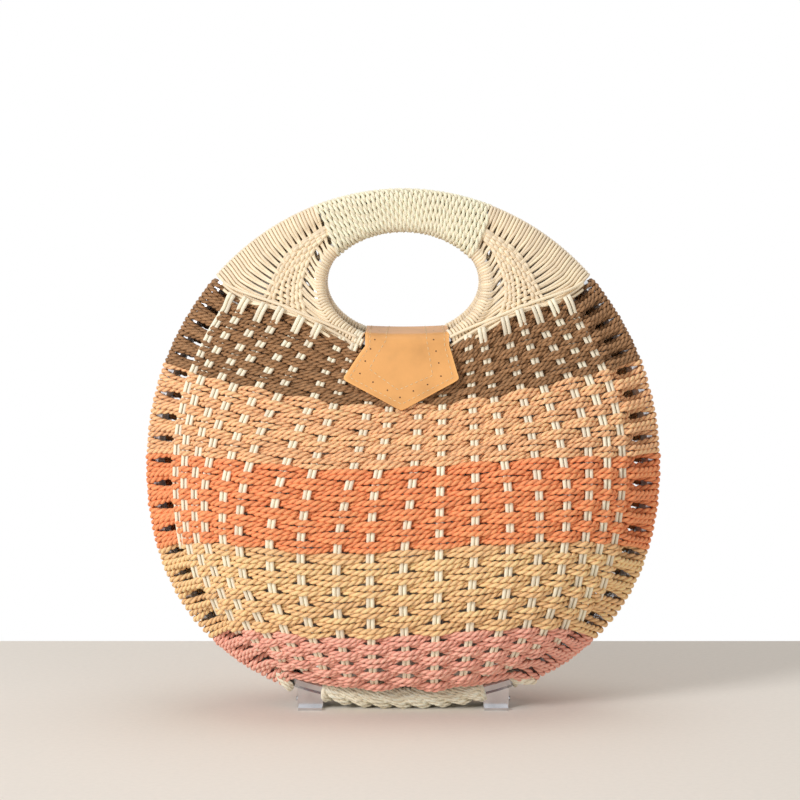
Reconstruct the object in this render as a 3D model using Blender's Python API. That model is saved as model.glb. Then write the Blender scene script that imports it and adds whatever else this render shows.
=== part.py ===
"""Round basket handbag: two domed halves woven round steel hoops, hinged under the rim.

Metres, +Z up. The front half faces -Y, the hinge runs along X under the rim, and the origin lies on
the table below the middle of the bag.
"""

import math

import bmesh
import bpy
from mathutils import Matrix, Vector

# Outline of the closed bag seen from the front
BAG_WIDTH = 0.308
BAG_HEIGHT = 0.313
WIDEST_HEIGHT = 0.149
RIM_LIFT = 0.0015
UPPER_POWER = 2.0
LOWER_POWER = 2.3

# Depth of the two domes
BAG_DEPTH = 0.126
SEAM_GAP = 0.0006
DOME_POWER = 4.6
FLATTEN_LENGTH = 0.0834
FLATTEN_SHARE = 0.54
DOME_LEAVE_SHARE = 1.25

# Steel hoop of each half, and the woven wall that wraps round it
HOOP_DIAMETER = 0.008
HOOP_SEGMENTS = 48
WALL = 0.0030
HOOP_CLEARANCE = 0.0006
WRAP_END_ANGLE = math.radians(268)
WRAP_STEPS = 5
ROW_GROOVE = 0.0011
STRIPE_GAP = 0.0003
STRIPE_SMOOTH_ANGLE = math.radians(12)

# Stripes from the top down: each lower edge as a share of the bag's height, and the rows in each
STRIPE_NAMES = ("brown", "peach", "orange", "tan", "pink")
STRIPE_CENTRE_SHARES = (0.593, 0.473, 0.332, 0.171)
STRIPE_RIM_SHARES = (0.819, 0.665, 0.485, 0.309, 0.150)
STRIPE_ROWS = (2, 3, 3, 3, 2)
DOME_SHARES = (0.0, 0.34, 0.62, 0.81, 0.93)

# Handle ring round the hand hole
RING_HALF_WIDTH = 0.0507
RING_HALF_HEIGHT = 0.0368
RING_CENTRE_DROP = 0.0567
RING_DIAMETER = 0.006
RING_BAR_SINK = 0.0054
RING_SEGMENTS = 30
WICKER_WALL = 0.0023
RING_CLEARANCE = 0.0005

# Grip winding
GRIP_LENGTH = 0.100
GRIP_RING_SHARE = 0.76
GRIP_CORD_DIAMETER = 0.0030
GRIP_LOOPS = 18
GRIP_ARC_POINTS = 7
GRIP_CLEARANCE = 0.0005

# Wicker panels beside the hand hole
PANEL_GAP = 0.0032
PANEL_ROWS = 6
PANEL_FOOT_HALF_WIDTH = 0.0275
PANEL_EDGE_GAP = 0.0006
PANEL_WRAP_ANGLE = math.radians(20)
PANEL_SHARES = (0.2, 0.4, 0.6, 0.8)

# Stake pairs behind the weave
STAKE_SPREAD = 0.115
STAKE_SIDE_COUNT = 5
STAKE_WIDTH = 0.0044
STAKE_THICKNESS = 0.0022
STAKE_GAP = 0.0022
STAKE_STEPS = 8
STAKE_CROWN_SHARE = 0.459
STAKE_TOP_RISE = 0.0046
STAKE_RIM_GAP = 0.010
SLEEVE_STEPS = 6
SLEEVE_START_ANGLE = math.radians(-130)
SLEEVE_END_ANGLE = math.radians(205)

# Lining
LINING_THICKNESS = 0.0010
LINING_GAP = 0.0024
LINING_EDGE_GAP = 0.0012
LINING_RING_GAP = 0.0026
LINING_RAYS = 15
LINING_SHARES = (0.0, 0.08, 0.3, 0.62, 0.88, 1.0)
LINING_START_ANGLE = math.radians(152)
LINING_TURN = math.radians(236)

# Leather strap and closing flap
LEATHER_THICKNESS = 0.0018
LEATHER_CLEARANCE = 0.0003
FLAP_TOP_WIDTH = 0.049
FLAP_CORNER_WIDTH = 0.068
FLAP_TIP_WIDTH = 0.008
FLAP_CORNER_DROP = 0.0162
FLAP_TIP_DROP = 0.0347
FLAP_SIDE_SHARES = (-1.0, -0.66, -0.33, 0.0, 0.33, 0.66, 1.0)
STRAP_TAIL_DROP = 0.0225
STRAP_TAIL_GAP = 0.0015
FOLD_STEPS = 4
STRAP_FRONT_OVERRUN = 0.0010
FOLD_GAP = 0.0006

# Snap under the flap
SNAP_DIAMETER = 0.014
SNAP_SIDES = 20
SNAP_DROP = 0.0210
SNAP_PLATE_THICKNESS = 0.0015
SNAP_MAGNET_THICKNESS = 0.0014
SNAP_GAP = 0.0004
SNAP_SEAT_GAP = 0.0007
SNAP_EDGE_GAP = 0.0001

# Chrome hinges under the rim
HINGE_CENTRE = 0.056
HINGE_WIDTH = 0.016
HINGE_BAND = 0.0012
HINGE_SIDES = 10
HINGE_BAND_CLEARANCE = 0.0004
HINGE_AXIS_HEIGHT = 0.0045
KNUCKLE_DIAMETER = 0.0062
KNUCKLE_SIDES = 10
KNUCKLE_GAP = 0.0004
PIN_DIAMETER = 0.0028
PIN_CLEARANCE = 0.0003
PIN_OVERHANG = 0.0008
PIN_SIDES = 12
SOLE_THICKNESS = 0.0016
SOLE_DEPTH = 0.0120
LEAF_WEB = 0.0024
LEAF_INSET = 0.0004
RIM_TO_HINGE_GAP = 0.0015

COLOURS = {
    "brown": (0.235, 0.115, 0.055, 1.0),
    "peach": (0.720, 0.370, 0.190, 1.0),
    "orange": (0.760, 0.270, 0.110, 1.0),
    "tan": (0.600, 0.380, 0.190, 1.0),
    "pink": (0.620, 0.320, 0.250, 1.0),
    "cream": (0.850, 0.720, 0.490, 1.0),
    "wicker": (0.880, 0.740, 0.520, 1.0),
    "lining": (0.700, 0.690, 0.680, 1.0),
    "leather": (0.720, 0.400, 0.150, 1.0),
    "steel": (0.620, 0.620, 0.630, 1.0),
    "chrome": (0.800, 0.800, 0.810, 1.0),
}
METALS = ("steel", "chrome")
SMOOTH_ANGLE = math.radians(40)

RIM_RADIUS = HOOP_DIAMETER / 2 + HOOP_CLEARANCE + WALL
HOOP_DEPTH = RIM_RADIUS + SEAM_GAP / 2
HOOP_HALF_WIDTH = BAG_WIDTH / 2 - RIM_RADIUS
HOOP_RISE = BAG_HEIGHT - WIDEST_HEIGHT - RIM_RADIUS
HOOP_FALL = WIDEST_HEIGHT - RIM_LIFT - RIM_RADIUS
RING_SLEEVE = RING_DIAMETER / 2 + RING_CLEARANCE + WICKER_WALL
RING_CENTRE_HEIGHT = BAG_HEIGHT - RING_CENTRE_DROP
RING_TOP = RING_CENTRE_HEIGHT + RING_HALF_HEIGHT
RING_BOTTOM = RING_CENTRE_HEIGHT - RING_HALF_HEIGHT
WEAVE_TOP = RING_BOTTOM - RING_SLEEVE - STRIPE_GAP
STAKE_CROWN_HEIGHT = WEAVE_TOP * STAKE_CROWN_SHARE
STAKE_HALF_SPAN = WEAVE_TOP + STAKE_TOP_RISE - STAKE_CROWN_HEIGHT
DOME_LEAVE = RIM_RADIUS * DOME_LEAVE_SHARE
DOME_EDGE = HOOP_DEPTH + DOME_LEAVE
RING_BAR_DEPTH = DOME_EDGE + (BAG_DEPTH / 2 - DOME_EDGE) * (1 - FLATTEN_SHARE) - RING_BAR_SINK
LEATHER_INNER = RING_SLEEVE + LEATHER_CLEARANCE
LEATHER_OUTER = LEATHER_INNER + LEATHER_THICKNESS
FRONT = Vector((0, -1, 0))


def clear_scene():
    for obj in list(bpy.data.objects):
        bpy.data.objects.remove(obj, do_unlink=True)


def material(name, kind):
    """One Principled material for one sub-part, in the colour of its kind."""
    made = bpy.data.materials.new(name)
    made.use_nodes = True
    shader = made.node_tree.nodes["Principled BSDF"]
    shader.inputs["Base Color"].default_value = COLOURS[kind]
    shader.inputs["Metallic"].default_value = 1.0 if kind in METALS else 0.0
    shader.inputs["Roughness"].default_value = 0.2 if kind in METALS else 0.7
    return made


def finish_object(obj, kind, parent, smooth_angle=SMOOTH_ANGLE):
    """Gives the object its material, smooth shading and parent, and leaves it where it is."""
    obj.data.materials.clear()
    obj.data.materials.append(material(f"{obj.name}_{kind}", kind))
    if obj.type == "MESH":
        obj.data.shade_smooth()
        obj.data.set_sharp_from_angle(angle=smooth_angle)
    if parent is not None:
        obj.parent = parent
        obj.matrix_parent_inverse = Matrix.Translation(parent.location).inverted()
    return obj


def mesh_object(name, points, faces):
    """A closed mesh object with its faces turned outwards."""
    mesh = bpy.data.meshes.new(name)
    mesh.from_pydata([tuple(p) for p in points], [], faces)
    shape = bmesh.new()
    shape.from_mesh(mesh)
    bmesh.ops.recalc_face_normals(shape, faces=shape.faces)
    if shape.calc_volume(signed=True) < 0:
        bmesh.ops.reverse_faces(shape, faces=shape.faces)
    shape.to_mesh(mesh)
    shape.free()
    return linked_object(name, mesh)


def linked_object(name, data):
    obj = bpy.data.objects.new(name, data)
    bpy.context.scene.collection.objects.link(obj)
    return obj


def object_from_shape(name, shape):
    """An object from the bmesh, which is freed."""
    mesh = bpy.data.meshes.new(name)
    shape.to_mesh(mesh)
    shape.free()
    return linked_object(name, mesh)


def wall_loft(name, rows, tube=False):
    """A wall lofted through rows of (outer points, inner points). A tube's rows are closed rings."""
    count = len(rows[0][0])
    points = [p for outer, inner in rows for p in outer + inner]
    faces = []

    def index(row, side, i):
        return (2 * row + side) * count + i % count

    steps = range(count if tube else count - 1)
    for row in range(len(rows) - 1):
        for side in (0, 1):
            for i in steps:
                faces.append((index(row, side, i), index(row, side, i + 1),
                              index(row + 1, side, i + 1), index(row + 1, side, i)))
        if not tube:
            for i in (0, count - 1):
                faces.append((index(row, 0, i), index(row, 1, i), index(row + 1, 1, i), index(row + 1, 0, i)))
    for row in (0, len(rows) - 1):
        for i in steps:
            faces.append((index(row, 0, i), index(row, 0, i + 1), index(row, 1, i + 1), index(row, 1, i)))
    return mesh_object(name, points, faces)


def cord_object(name, points, diameter, resolution, cyclic=False):
    """A round tube along the points, as a curve with filled caps."""
    curve = bpy.data.curves.new(name, "CURVE")
    curve.dimensions = "3D"
    curve.bevel_depth = diameter / 2
    curve.bevel_resolution = resolution
    curve.use_fill_caps = True
    spline = curve.splines.new("POLY")
    spline.points.add(len(points) - 1)
    for point, place in zip(spline.points, points):
        point.co = (*place, 1.0)
    spline.use_cyclic_u = cyclic
    spline.use_smooth = True
    return linked_object(name, curve)


def combine(target, tools, operation):
    """Joins the tools to the target, or cuts them from it, and removes them."""
    for tool in tools:
        modifier = target.modifiers.new(operation.lower(), "BOOLEAN")
        modifier.operation = operation
        modifier.solver = "EXACT"
        modifier.object = tool
        bpy.context.view_layer.update()
        graph = bpy.context.evaluated_depsgraph_get()
        joined = bpy.data.meshes.new_from_object(target.evaluated_get(graph))
        target.modifiers.clear()
        target.data = joined
        bpy.data.objects.remove(tool, do_unlink=True)
    return target


def turned_half(points):
    """The same points on the back half, which is the front half turned half a turn about Z."""
    return [Vector((-p[0], -p[1], p[2])) for p in points]


def turned_rows(rows):
    return [(turned_half(outer), turned_half(inner)) for outer, inner in rows]


# Outline and dome

def outline_reach(x, z, half_width, rise, fall):
    """0 at the middle of the bag and 1 on the outline with these half sizes."""
    up = z >= WIDEST_HEIGHT
    power = UPPER_POWER if up else LOWER_POWER
    height = rise if up else fall
    across = (abs(x) / half_width) ** power
    along = (abs(z - WIDEST_HEIGHT) / height) ** power
    return (across + along) ** (1 / power)


def hoop_reach(x, z):
    return outline_reach(x, z, HOOP_HALF_WIDTH, HOOP_RISE, HOOP_FALL)


def hoop_point(angle):
    """Centre of the hoop's tube, the angle counted from the widest point on the right, upwards."""
    power = UPPER_POWER if math.sin(angle) >= 0 else LOWER_POWER
    height = HOOP_RISE if math.sin(angle) >= 0 else HOOP_FALL
    x = HOOP_HALF_WIDTH * math.copysign(abs(math.cos(angle)) ** (2 / power), math.cos(angle))
    z = WIDEST_HEIGHT + height * math.copysign(abs(math.sin(angle)) ** (2 / power), math.sin(angle))
    return Vector((x, -HOOP_DEPTH, z))


def hoop_outward(place):
    """Direction away from the bag's middle, square to the hoop, in the plane of the hoop."""
    up = place.z >= WIDEST_HEIGHT
    power = UPPER_POWER if up else LOWER_POWER
    height = HOOP_RISE if up else HOOP_FALL
    rise = place.z - WIDEST_HEIGHT
    x = math.copysign((abs(place.x) / HOOP_HALF_WIDTH) ** (power - 1) / HOOP_HALF_WIDTH, place.x)
    z = math.copysign((abs(rise) / height) ** (power - 1) / height, rise)
    return Vector((x, 0, z)).normalized()


def rim_angle_at_height(height):
    up = height >= WIDEST_HEIGHT
    power = UPPER_POWER if up else LOWER_POWER
    reach = (height - WIDEST_HEIGHT) / (HOOP_RISE if up else HOOP_FALL)
    return math.copysign(math.asin(abs(reach) ** (power / 2)), reach)


def lower_rim_angle_at_width(x):
    return -math.acos((x / HOOP_HALF_WIDTH) ** (LOWER_POWER / 2))


def upper_rim_angle_at_width(x):
    return math.acos((x / HOOP_HALF_WIDTH) ** (UPPER_POWER / 2))


def smooth_step(share):
    share = min(max(share, 0.0), 1.0)
    return share * share * (3 - 2 * share)


def dome_depth(x, z):
    """How far the woven wall's outer face stands in front of the bag's middle plane."""
    reach = min(hoop_reach(x, z), 1.0)
    flat = FLATTEN_SHARE * smooth_step(1 - (WEAVE_TOP - z) / FLATTEN_LENGTH)
    return DOME_EDGE + (BAG_DEPTH / 2 - DOME_EDGE) * (1 - reach ** DOME_POWER) * (1 - flat)


def dome_normal(x, z):
    """Outward normal of the front dome."""
    step = HOOP_DIAMETER / 8
    across = (dome_depth(x + step, z) - dome_depth(x - step, z)) / (2 * step)
    along = (dome_depth(x, z + step) - dome_depth(x, z - step)) / (2 * step)
    return Vector((-across, -1, -along)).normalized()


def on_dome(x, z, sink):
    """A point on the front dome, sunk below its outer face."""
    return Vector((x, -dome_depth(x, z), z)) - dome_normal(x, z) * sink


def wrap_arc(centre, outward, front, radius, start, end, steps, bore=False):
    """Points round a tube from its front over its outer side. The flats of a bore touch the radius."""
    arc = []
    if bore:
        radius /= math.cos((end - start) / (steps - 1) / 2)
    for i in range(steps):
        angle = start + (end - start) * i / (steps - 1)
        arc.append(centre + outward * (radius * math.sin(angle)) + front * (radius * math.cos(angle)))
    return arc


# Woven stripes

def row_height(centre_height, rim, share):
    return centre_height + (rim.z - centre_height) * share ** 2


def stripe_row(centre_height, rim_angle, groove):
    """Outer and inner points of one row, from the left wrap over the dome to the right wrap."""
    rim = hoop_point(rim_angle)
    outward = hoop_outward(rim)
    inside = rim - outward * DOME_LEAVE
    slope = (dome_depth(inside.x, inside.z) - DOME_EDGE) / DOME_LEAVE
    start = math.atan(slope)
    halves = []
    for sink, radius in ((groove, RIM_RADIUS - groove), (WALL, RIM_RADIUS - WALL)):
        half = []
        for share in DOME_SHARES:
            half.append(on_dome(rim.x * share, row_height(centre_height, rim, share), sink))
        half += wrap_arc(rim, outward, FRONT, radius, start, WRAP_END_ANGLE, WRAP_STEPS, sink == WALL)
        left = [Vector((-p.x, p.y, p.z)) for p in reversed(half[1:])]
        halves.append(left + half)
    return halves[0], halves[1]


def stripe_edges():
    """Centre heights and rim angles of the stripes' edges, from the top down."""
    centre = [WEAVE_TOP] + [BAG_HEIGHT * share for share in STRIPE_CENTRE_SHARES]
    rim = [rim_angle_at_height(BAG_HEIGHT * share) for share in STRIPE_RIM_SHARES]
    centre.append(hoop_point(-math.pi / 2).z + RIM_RADIUS / 2)
    rim.append(lower_rim_angle_at_width(HINGE_CENTRE + HINGE_WIDTH / 2 + RIM_TO_HINGE_GAP))
    return list(zip(centre, rim))


def stripe_rows(upper, lower, count):
    """Rows of a stripe: each row of cord is a crest between two grooves."""
    rows = []
    steps = 2 * count
    trim_centre = STRIPE_GAP / 2 / (upper[0] - lower[0])
    rim_length = (hoop_point(upper[1]) - hoop_point(lower[1])).length
    trim_rim = STRIPE_GAP / 2 / rim_length
    for step in range(steps + 1):
        share = step / steps
        centre_share = min(max(share, trim_centre), 1 - trim_centre)
        rim_share = min(max(share, trim_rim), 1 - trim_rim)
        height = upper[0] + (lower[0] - upper[0]) * centre_share
        angle = upper[1] + (lower[1] - upper[1]) * rim_share
        rows.append(stripe_row(height, angle, 0.0 if step % 2 else ROW_GROOVE))
    return rows


def make_stripes(side, place, parent):
    edges = stripe_edges()
    for number, name in enumerate(STRIPE_NAMES):
        rows = place(stripe_rows(edges[number], edges[number + 1], STRIPE_ROWS[number]))
        stripe = wall_loft(f"{side}_stripe_{name}", rows)
        finish_object(stripe, name, parent, STRIPE_SMOOTH_ANGLE)


def make_cream_stripe(side, place, parent):
    """The lowest stripe is the cord wound round the foot of the hoop, between the hinges."""
    reach = HINGE_CENTRE - HINGE_WIDTH / 2 - RIM_TO_HINGE_GAP
    rows = []
    steps = 2 * STRIPE_ROWS[-1] + 2
    for step in range(steps + 1):
        x = reach * (2 * step / steps - 1)
        angle = lower_rim_angle_at_width(abs(x))
        centre = hoop_point(angle)
        centre.x = x
        outward = hoop_outward(centre)
        groove = 0.0 if step % 2 else ROW_GROOVE / 2
        outer = wrap_arc(centre, outward, FRONT, RIM_RADIUS - groove, 0, WRAP_END_ANGLE, WRAP_STEPS + 2)
        inner = wrap_arc(centre, outward, FRONT, RIM_RADIUS - WALL, 0, WRAP_END_ANGLE, WRAP_STEPS + 2, True)
        rows.append((outer, inner))
    finish_object(wall_loft(f"{side}_stripe_cream", place(rows)), "cream", parent)


# Hoop, handle ring and grip

def make_hoop(side, place, parent):
    turn = [hoop_point(2 * math.pi * i / HOOP_SEGMENTS) for i in range(HOOP_SEGMENTS)]
    hoop = cord_object(f"{side}_hoop", place(turn), HOOP_DIAMETER, 1, cyclic=True)
    finish_object(hoop, "steel", parent)


def ring_depth(z):
    """The ring leans forward, from the hoop at its top to the dome at its lower bar."""
    return HOOP_DEPTH + (RING_BAR_DEPTH - HOOP_DEPTH) * (RING_TOP - z) / (RING_TOP - RING_BOTTOM)


def ring_point(angle):
    z = RING_CENTRE_HEIGHT + RING_HALF_HEIGHT * math.sin(angle)
    return Vector((RING_HALF_WIDTH * math.cos(angle), -ring_depth(z), z))


def ring_front():
    lean = (ring_point(math.pi / 2) - ring_point(-math.pi / 2)).normalized()
    return Vector((1, 0, 0)).cross(lean).normalized()


def ring_inward(angle):
    """Direction from the ring's tube to the hand hole, square to the tube."""
    step = math.pi / RING_SEGMENTS / 2
    along = (ring_point(angle + step) - ring_point(angle - step)).normalized()
    inward = ring_front().cross(along)
    middle = ring_point(math.pi / 2).lerp(ring_point(-math.pi / 2), 0.5)
    return inward if inward.dot(middle - ring_point(angle)) > 0 else -inward


def make_ring(side, place, parent):
    turn = [ring_point(2 * math.pi * i / RING_SEGMENTS) for i in range(RING_SEGMENTS)]
    ring = cord_object(f"{side}_handle_ring", place(turn), RING_DIAMETER, 1, cyclic=True)
    finish_object(ring, "steel", parent)


def winding_point(turns):
    """A point of the grip's cord, which runs round the tops of the hoop and the ring together."""
    along = 2 * turns / GRIP_LOOPS - 1
    hoop_x = GRIP_LENGTH / 2 * along
    top = hoop_point(upper_rim_angle_at_width(abs(hoop_x)))
    top.x = hoop_x
    ring_x = hoop_x * GRIP_RING_SHARE
    bottom = ring_point(math.acos(ring_x / RING_HALF_WIDTH))
    down = (bottom - top).normalized()
    front = (FRONT - down * FRONT.dot(down)).normalized()
    spot = (turns % 1) * 2
    over_ring = spot >= 1
    angle = math.pi * (spot % 1) * GRIP_ARC_POINTS / (GRIP_ARC_POINTS - 1)
    reach = GRIP_CLEARANCE + GRIP_CORD_DIAMETER / 2
    if over_ring:
        radius = RING_DIAMETER / 2 + reach
        return bottom - front * (radius * math.cos(angle)) + down * (radius * math.sin(angle))
    radius = HOOP_DIAMETER / 2 + reach
    return top + front * (radius * math.cos(angle)) - down * (radius * math.sin(angle))


def winding_points():
    per_loop = 2 * GRIP_ARC_POINTS
    turn = [winding_point(i / per_loop) for i in range(GRIP_LOOPS * per_loop)]
    first = turn[0] + (turn[0] - turn[1]).normalized() * GRIP_CORD_DIAMETER
    last = turn[-1] + (turn[-1] - turn[-2]).normalized() * GRIP_CORD_DIAMETER
    return [first] + turn + [last]


def least_gap(points, diameter, skip):
    """Least distance between stretches of the cord that are more than a third of a loop apart."""
    least = min((a - b).length for i, a in enumerate(points) for b in points[i + skip:i + 3 * skip])
    return least - diameter


def make_winding(side, place, parent):
    points = winding_points()
    gap = least_gap(points, GRIP_CORD_DIAMETER, GRIP_ARC_POINTS)
    print(f"{side} grip winding: {GRIP_LOOPS} loops, least gap to itself {gap * 1000:.2f} mm")
    winding = cord_object(f"{side}_grip_winding", place(points), GRIP_CORD_DIAMETER, 1)
    finish_object(winding, "cream", parent)


# Wicker panels beside the hand hole

def weave_top_line(share):
    """The upper edge of the brown stripe on the dome, from the rim at 0 to the bag's middle at 1."""
    rim = hoop_point(stripe_edges()[0][1])
    spots = [1 - s for s in reversed(DOME_SHARES)] + [1.0]
    places = [on_dome(rim.x * s, row_height(WEAVE_TOP, rim, s), 0) for s in reversed(DOME_SHARES)]
    for number in range(len(places) - 1):
        if share <= spots[number + 1]:
            span = (share - spots[number]) / (spots[number + 1] - spots[number])
            return places[number].lerp(places[number + 1], span)
    return places[-1]


def panel_rows():
    """Rows of the right-hand wicker panel, from the grip down to the brown stripe."""
    rim_start = upper_rim_angle_at_width(GRIP_LENGTH / 2 + PANEL_GAP)
    rim_end = stripe_edges()[0][1] + PANEL_EDGE_GAP / HOOP_HALF_WIDTH
    ring_start = math.acos(GRIP_LENGTH / 2 * GRIP_RING_SHARE / RING_HALF_WIDTH) - PANEL_GAP / RING_HALF_HEIGHT
    ring_end = -math.acos(PANEL_FOOT_HALF_WIDTH / RING_HALF_WIDTH)
    lift = Vector((0, 0, PANEL_EDGE_GAP))
    front = ring_front()
    end_rim, end_ring = hoop_point(rim_end), ring_point(ring_end)
    rows = []
    for row in range(PANEL_ROWS):
        share = row / (PANEL_ROWS - 1)
        rim_angle = rim_start + (rim_end - rim_start) * share
        ring_angle = ring_start + (ring_end - ring_start) * share
        rim, ring = hoop_point(rim_angle), ring_point(ring_angle)
        lists = []
        for wall_share in (0, 1):
            rim_radius = RIM_RADIUS - WALL * wall_share
            ring_radius = RING_SLEEVE - WICKER_WALL * wall_share
            bore = wall_share == 1
            end, outward, inward = WRAP_END_ANGLE, hoop_outward(rim), ring_inward(ring_angle)
            hoop_arc = wrap_arc(rim, outward, FRONT, rim_radius, PANEL_WRAP_ANGLE, end, WRAP_STEPS, bore)
            ring_arc = wrap_arc(ring, inward, front, ring_radius, 0, end, WRAP_STEPS, bore)
            middle = []
            for spot in PANEL_SHARES:
                straight = (rim + FRONT * rim_radius).lerp(ring + front * ring_radius, spot)
                edge = (end_rim + FRONT * RIM_RADIUS).lerp(end_ring + front * RING_SLEEVE, spot)
                sag = weave_top_line(spot * (1 - end_ring.x / end_rim.x)) + lift - edge
                sag.y *= 1 - abs(2 * spot - 1) ** 4
                middle.append(straight + sag * share ** 2)
            lists.append(list(reversed(hoop_arc)) + middle + ring_arc)
        rows.append((lists[0], lists[1]))
    return rows


def make_panels(side, place, parent):
    right = panel_rows()
    left = [([Vector((-p.x, p.y, p.z)) for p in outer], [Vector((-p.x, p.y, p.z)) for p in inner])
            for outer, inner in right]
    names = ("right", "left") if side == "front" else ("left", "right")
    for name, rows in zip(names, (right, left)):
        finish_object(wall_loft(f"{side}_wicker_{name}", place(rows)), "wicker", parent)


# Stake fan and lining

def stake_share(z):
    return math.sqrt(max(1 - ((z - STAKE_CROWN_HEIGHT) / STAKE_HALF_SPAN) ** 2, 0))


def stake_rows(number):
    """One pair of rods side by side, as a flat lath behind the weave."""
    spread = STAKE_SPREAD * number / STAKE_SIDE_COUNT
    start = WEAVE_TOP + RING_SLEEVE / 3
    angle = -math.acos(spread * stake_share(start) / RING_HALF_WIDTH)
    bar = ring_point(angle)
    sink = WALL + STAKE_GAP
    bottom = start
    step = STAKE_THICKNESS
    while hoop_reach(spread * stake_share(bottom - step), bottom - step) < 1 - STAKE_RIM_GAP / HOOP_FALL:
        bottom -= step
        if bottom < step:
            break
    rows = []
    for row in range(STAKE_STEPS + 1):
        z = start + (bottom - start) * row / STAKE_STEPS
        x = spread * stake_share(z)
        if row == 0:
            z = bar.z - RING_DIAMETER / 2 - RING_CLEARANCE - WICKER_WALL / 2
        half = Vector((STAKE_WIDTH / 2, 0, 0))
        face = on_dome(x, z, sink)
        back = on_dome(x, z, sink + STAKE_THICKNESS)
        if row == 0:
            face.y = bar.y - STAKE_THICKNESS / 2
            back.y = bar.y + STAKE_THICKNESS / 2
        rows.append(([face - half, face + half], [back - half, back + half]))
    return rows


def make_stake_fan(side, place, parent):
    """Sleeve of wicker round the ring's lower bar, with the stakes that leave it."""
    reach = PANEL_FOOT_HALF_WIDTH - PANEL_EDGE_GAP
    rows = []
    front = ring_front()
    start, end = SLEEVE_START_ANGLE, SLEEVE_END_ANGLE
    for step in range(SLEEVE_STEPS + 1):
        x = reach * (2 * step / SLEEVE_STEPS - 1)
        angle = -math.acos(x / RING_HALF_WIDTH)
        bar, inward = ring_point(angle), ring_inward(angle)
        outer = wrap_arc(bar, inward, front, RING_SLEEVE, start, end, WRAP_STEPS + 3)
        inner = wrap_arc(bar, inward, front, RING_SLEEVE - WICKER_WALL, start, end, WRAP_STEPS + 3, True)
        rows.append((outer, inner))
    fan = wall_loft(f"{side}_stake_fan", place(rows))
    laths = []
    for number in range(-STAKE_SIDE_COUNT, STAKE_SIDE_COUNT + 1):
        laths.append(wall_loft(f"lath_{number}", place(stake_rows(number))))
    combine(fan, laths, "UNION")
    finish_object(fan, "wicker", parent)


def lining_depth(x, z):
    ring_face = ring_depth(min(z, RING_TOP)) + RING_SLEEVE
    return min(dome_depth(x, z), ring_face)


def ray_length(angle, test):
    """How far a ray from the hand hole's middle runs before the test fails."""
    near, far = 0.0, BAG_HEIGHT
    for _ in range(30):
        middle = (near + far) / 2
        x, z = middle * math.cos(angle), RING_CENTRE_HEIGHT + middle * math.sin(angle)
        near, far = (middle, far) if test(x, z) else (near, middle)
    return near


def lining_rows():
    """Rays from beside the ring out to the rim, all round but under the grip."""
    edge = RIM_RADIUS + LINING_EDGE_GAP
    ring_edge = RING_SLEEVE + LINING_RING_GAP
    rows = []
    for ray in range(LINING_RAYS + 1):
        angle = LINING_START_ANGLE + LINING_TURN * ray / LINING_RAYS
        inner_end = ray_length(angle, lambda x, z: (x / (RING_HALF_WIDTH + ring_edge)) ** 2
                               + ((z - RING_CENTRE_HEIGHT) / (RING_HALF_HEIGHT + ring_edge)) ** 2 < 1)
        outer_end = ray_length(angle, lambda x, z: outline_reach(
            x, z, HOOP_HALF_WIDTH - edge, HOOP_RISE - edge, HOOP_FALL - edge) < 1)
        face, back = [], []
        for share in LINING_SHARES:
            reach = inner_end + (outer_end - inner_end) * share
            x, z = reach * math.cos(angle), RING_CENTRE_HEIGHT + reach * math.sin(angle)
            sink = WALL + STAKE_GAP + STAKE_THICKNESS + LINING_GAP
            normal = dome_normal(x, z)
            front_face = Vector((x, -lining_depth(x, z) + sink / -normal.y, z))
            face.append(front_face)
            back.append(front_face + Vector((0, LINING_THICKNESS / -normal.y, 0)))
        rows.append((face, back))
    return rows


def make_lining(side, place, parent):
    finish_object(wall_loft(f"{side}_lining", place(lining_rows())), "lining", parent)


# Leather

def leather_shift(x, hold):
    """The leather follows the ring's curve where it lies on it, and is flat where hold is 0."""
    angle = -math.acos(x / RING_HALF_WIDTH)
    bar, lowest = ring_point(angle), ring_point(-math.pi / 2)
    rise = bar.z - lowest.z + LEATHER_INNER * (1 / ring_inward(angle).z - 1 / ring_inward(-math.pi / 2).z)
    return Vector((x, (bar.y - lowest.y) * hold, rise * hold))


def leather_row(half_width, face, back, hold, lean=1.0):
    """One row across the leather from a pair of side-view points."""
    lists = []
    for spot in (face, back):
        row = []
        for share in FLAP_SIDE_SHARES:
            shift = leather_shift(half_width * share, hold)
            row.append(Vector((shift.x, spot[0] + shift.y * lean, spot[1] + shift.z)))
        lists.append(row)
    return lists[0], lists[1]


def bar_fold(side, start, end):
    """Rows over a quarter of the ring's lower bar, on the front or the back half."""
    step = (end - start) / (FOLD_STEPS - 1)
    rows = []
    for number in range(FOLD_STEPS):
        angle = start + step * number
        spots = []
        for radius in (LEATHER_OUTER, LEATHER_INNER / math.cos(step / 2)):
            depth = RING_BAR_DEPTH + radius * math.cos(angle)
            spots.append((side * depth, RING_BOTTOM + radius * math.sin(angle)))
        rows.append(leather_row(FLAP_TOP_WIDTH / 2, spots[0], spots[1], 1.0, -side))
    return rows


def make_strap():
    """Tail on the back dome, fold over the back ring's lower bar, and bridge to the front ring's bar."""
    height = RING_BOTTOM - STRAP_TAIL_DROP
    foot = dome_depth(0, height) + STRAP_TAIL_GAP
    rows = [leather_row(FLAP_TOP_WIDTH / 2, (foot + LEATHER_THICKNESS, height), (foot, height), 0.0)]
    rows += bar_fold(1, 0, math.pi / 2)
    top, under = RING_BOTTOM + LEATHER_OUTER, RING_BOTTOM + LEATHER_INNER
    for y, lean in ((0.0, 0.0), (-RING_BAR_DEPTH - STRAP_FRONT_OVERRUN, 1.0)):
        rows.append(leather_row(FLAP_TOP_WIDTH / 2, (y, top), (y, under), 1.0, lean))
    finish_object(wall_loft("closing_strap", rows), "leather", None)


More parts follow.
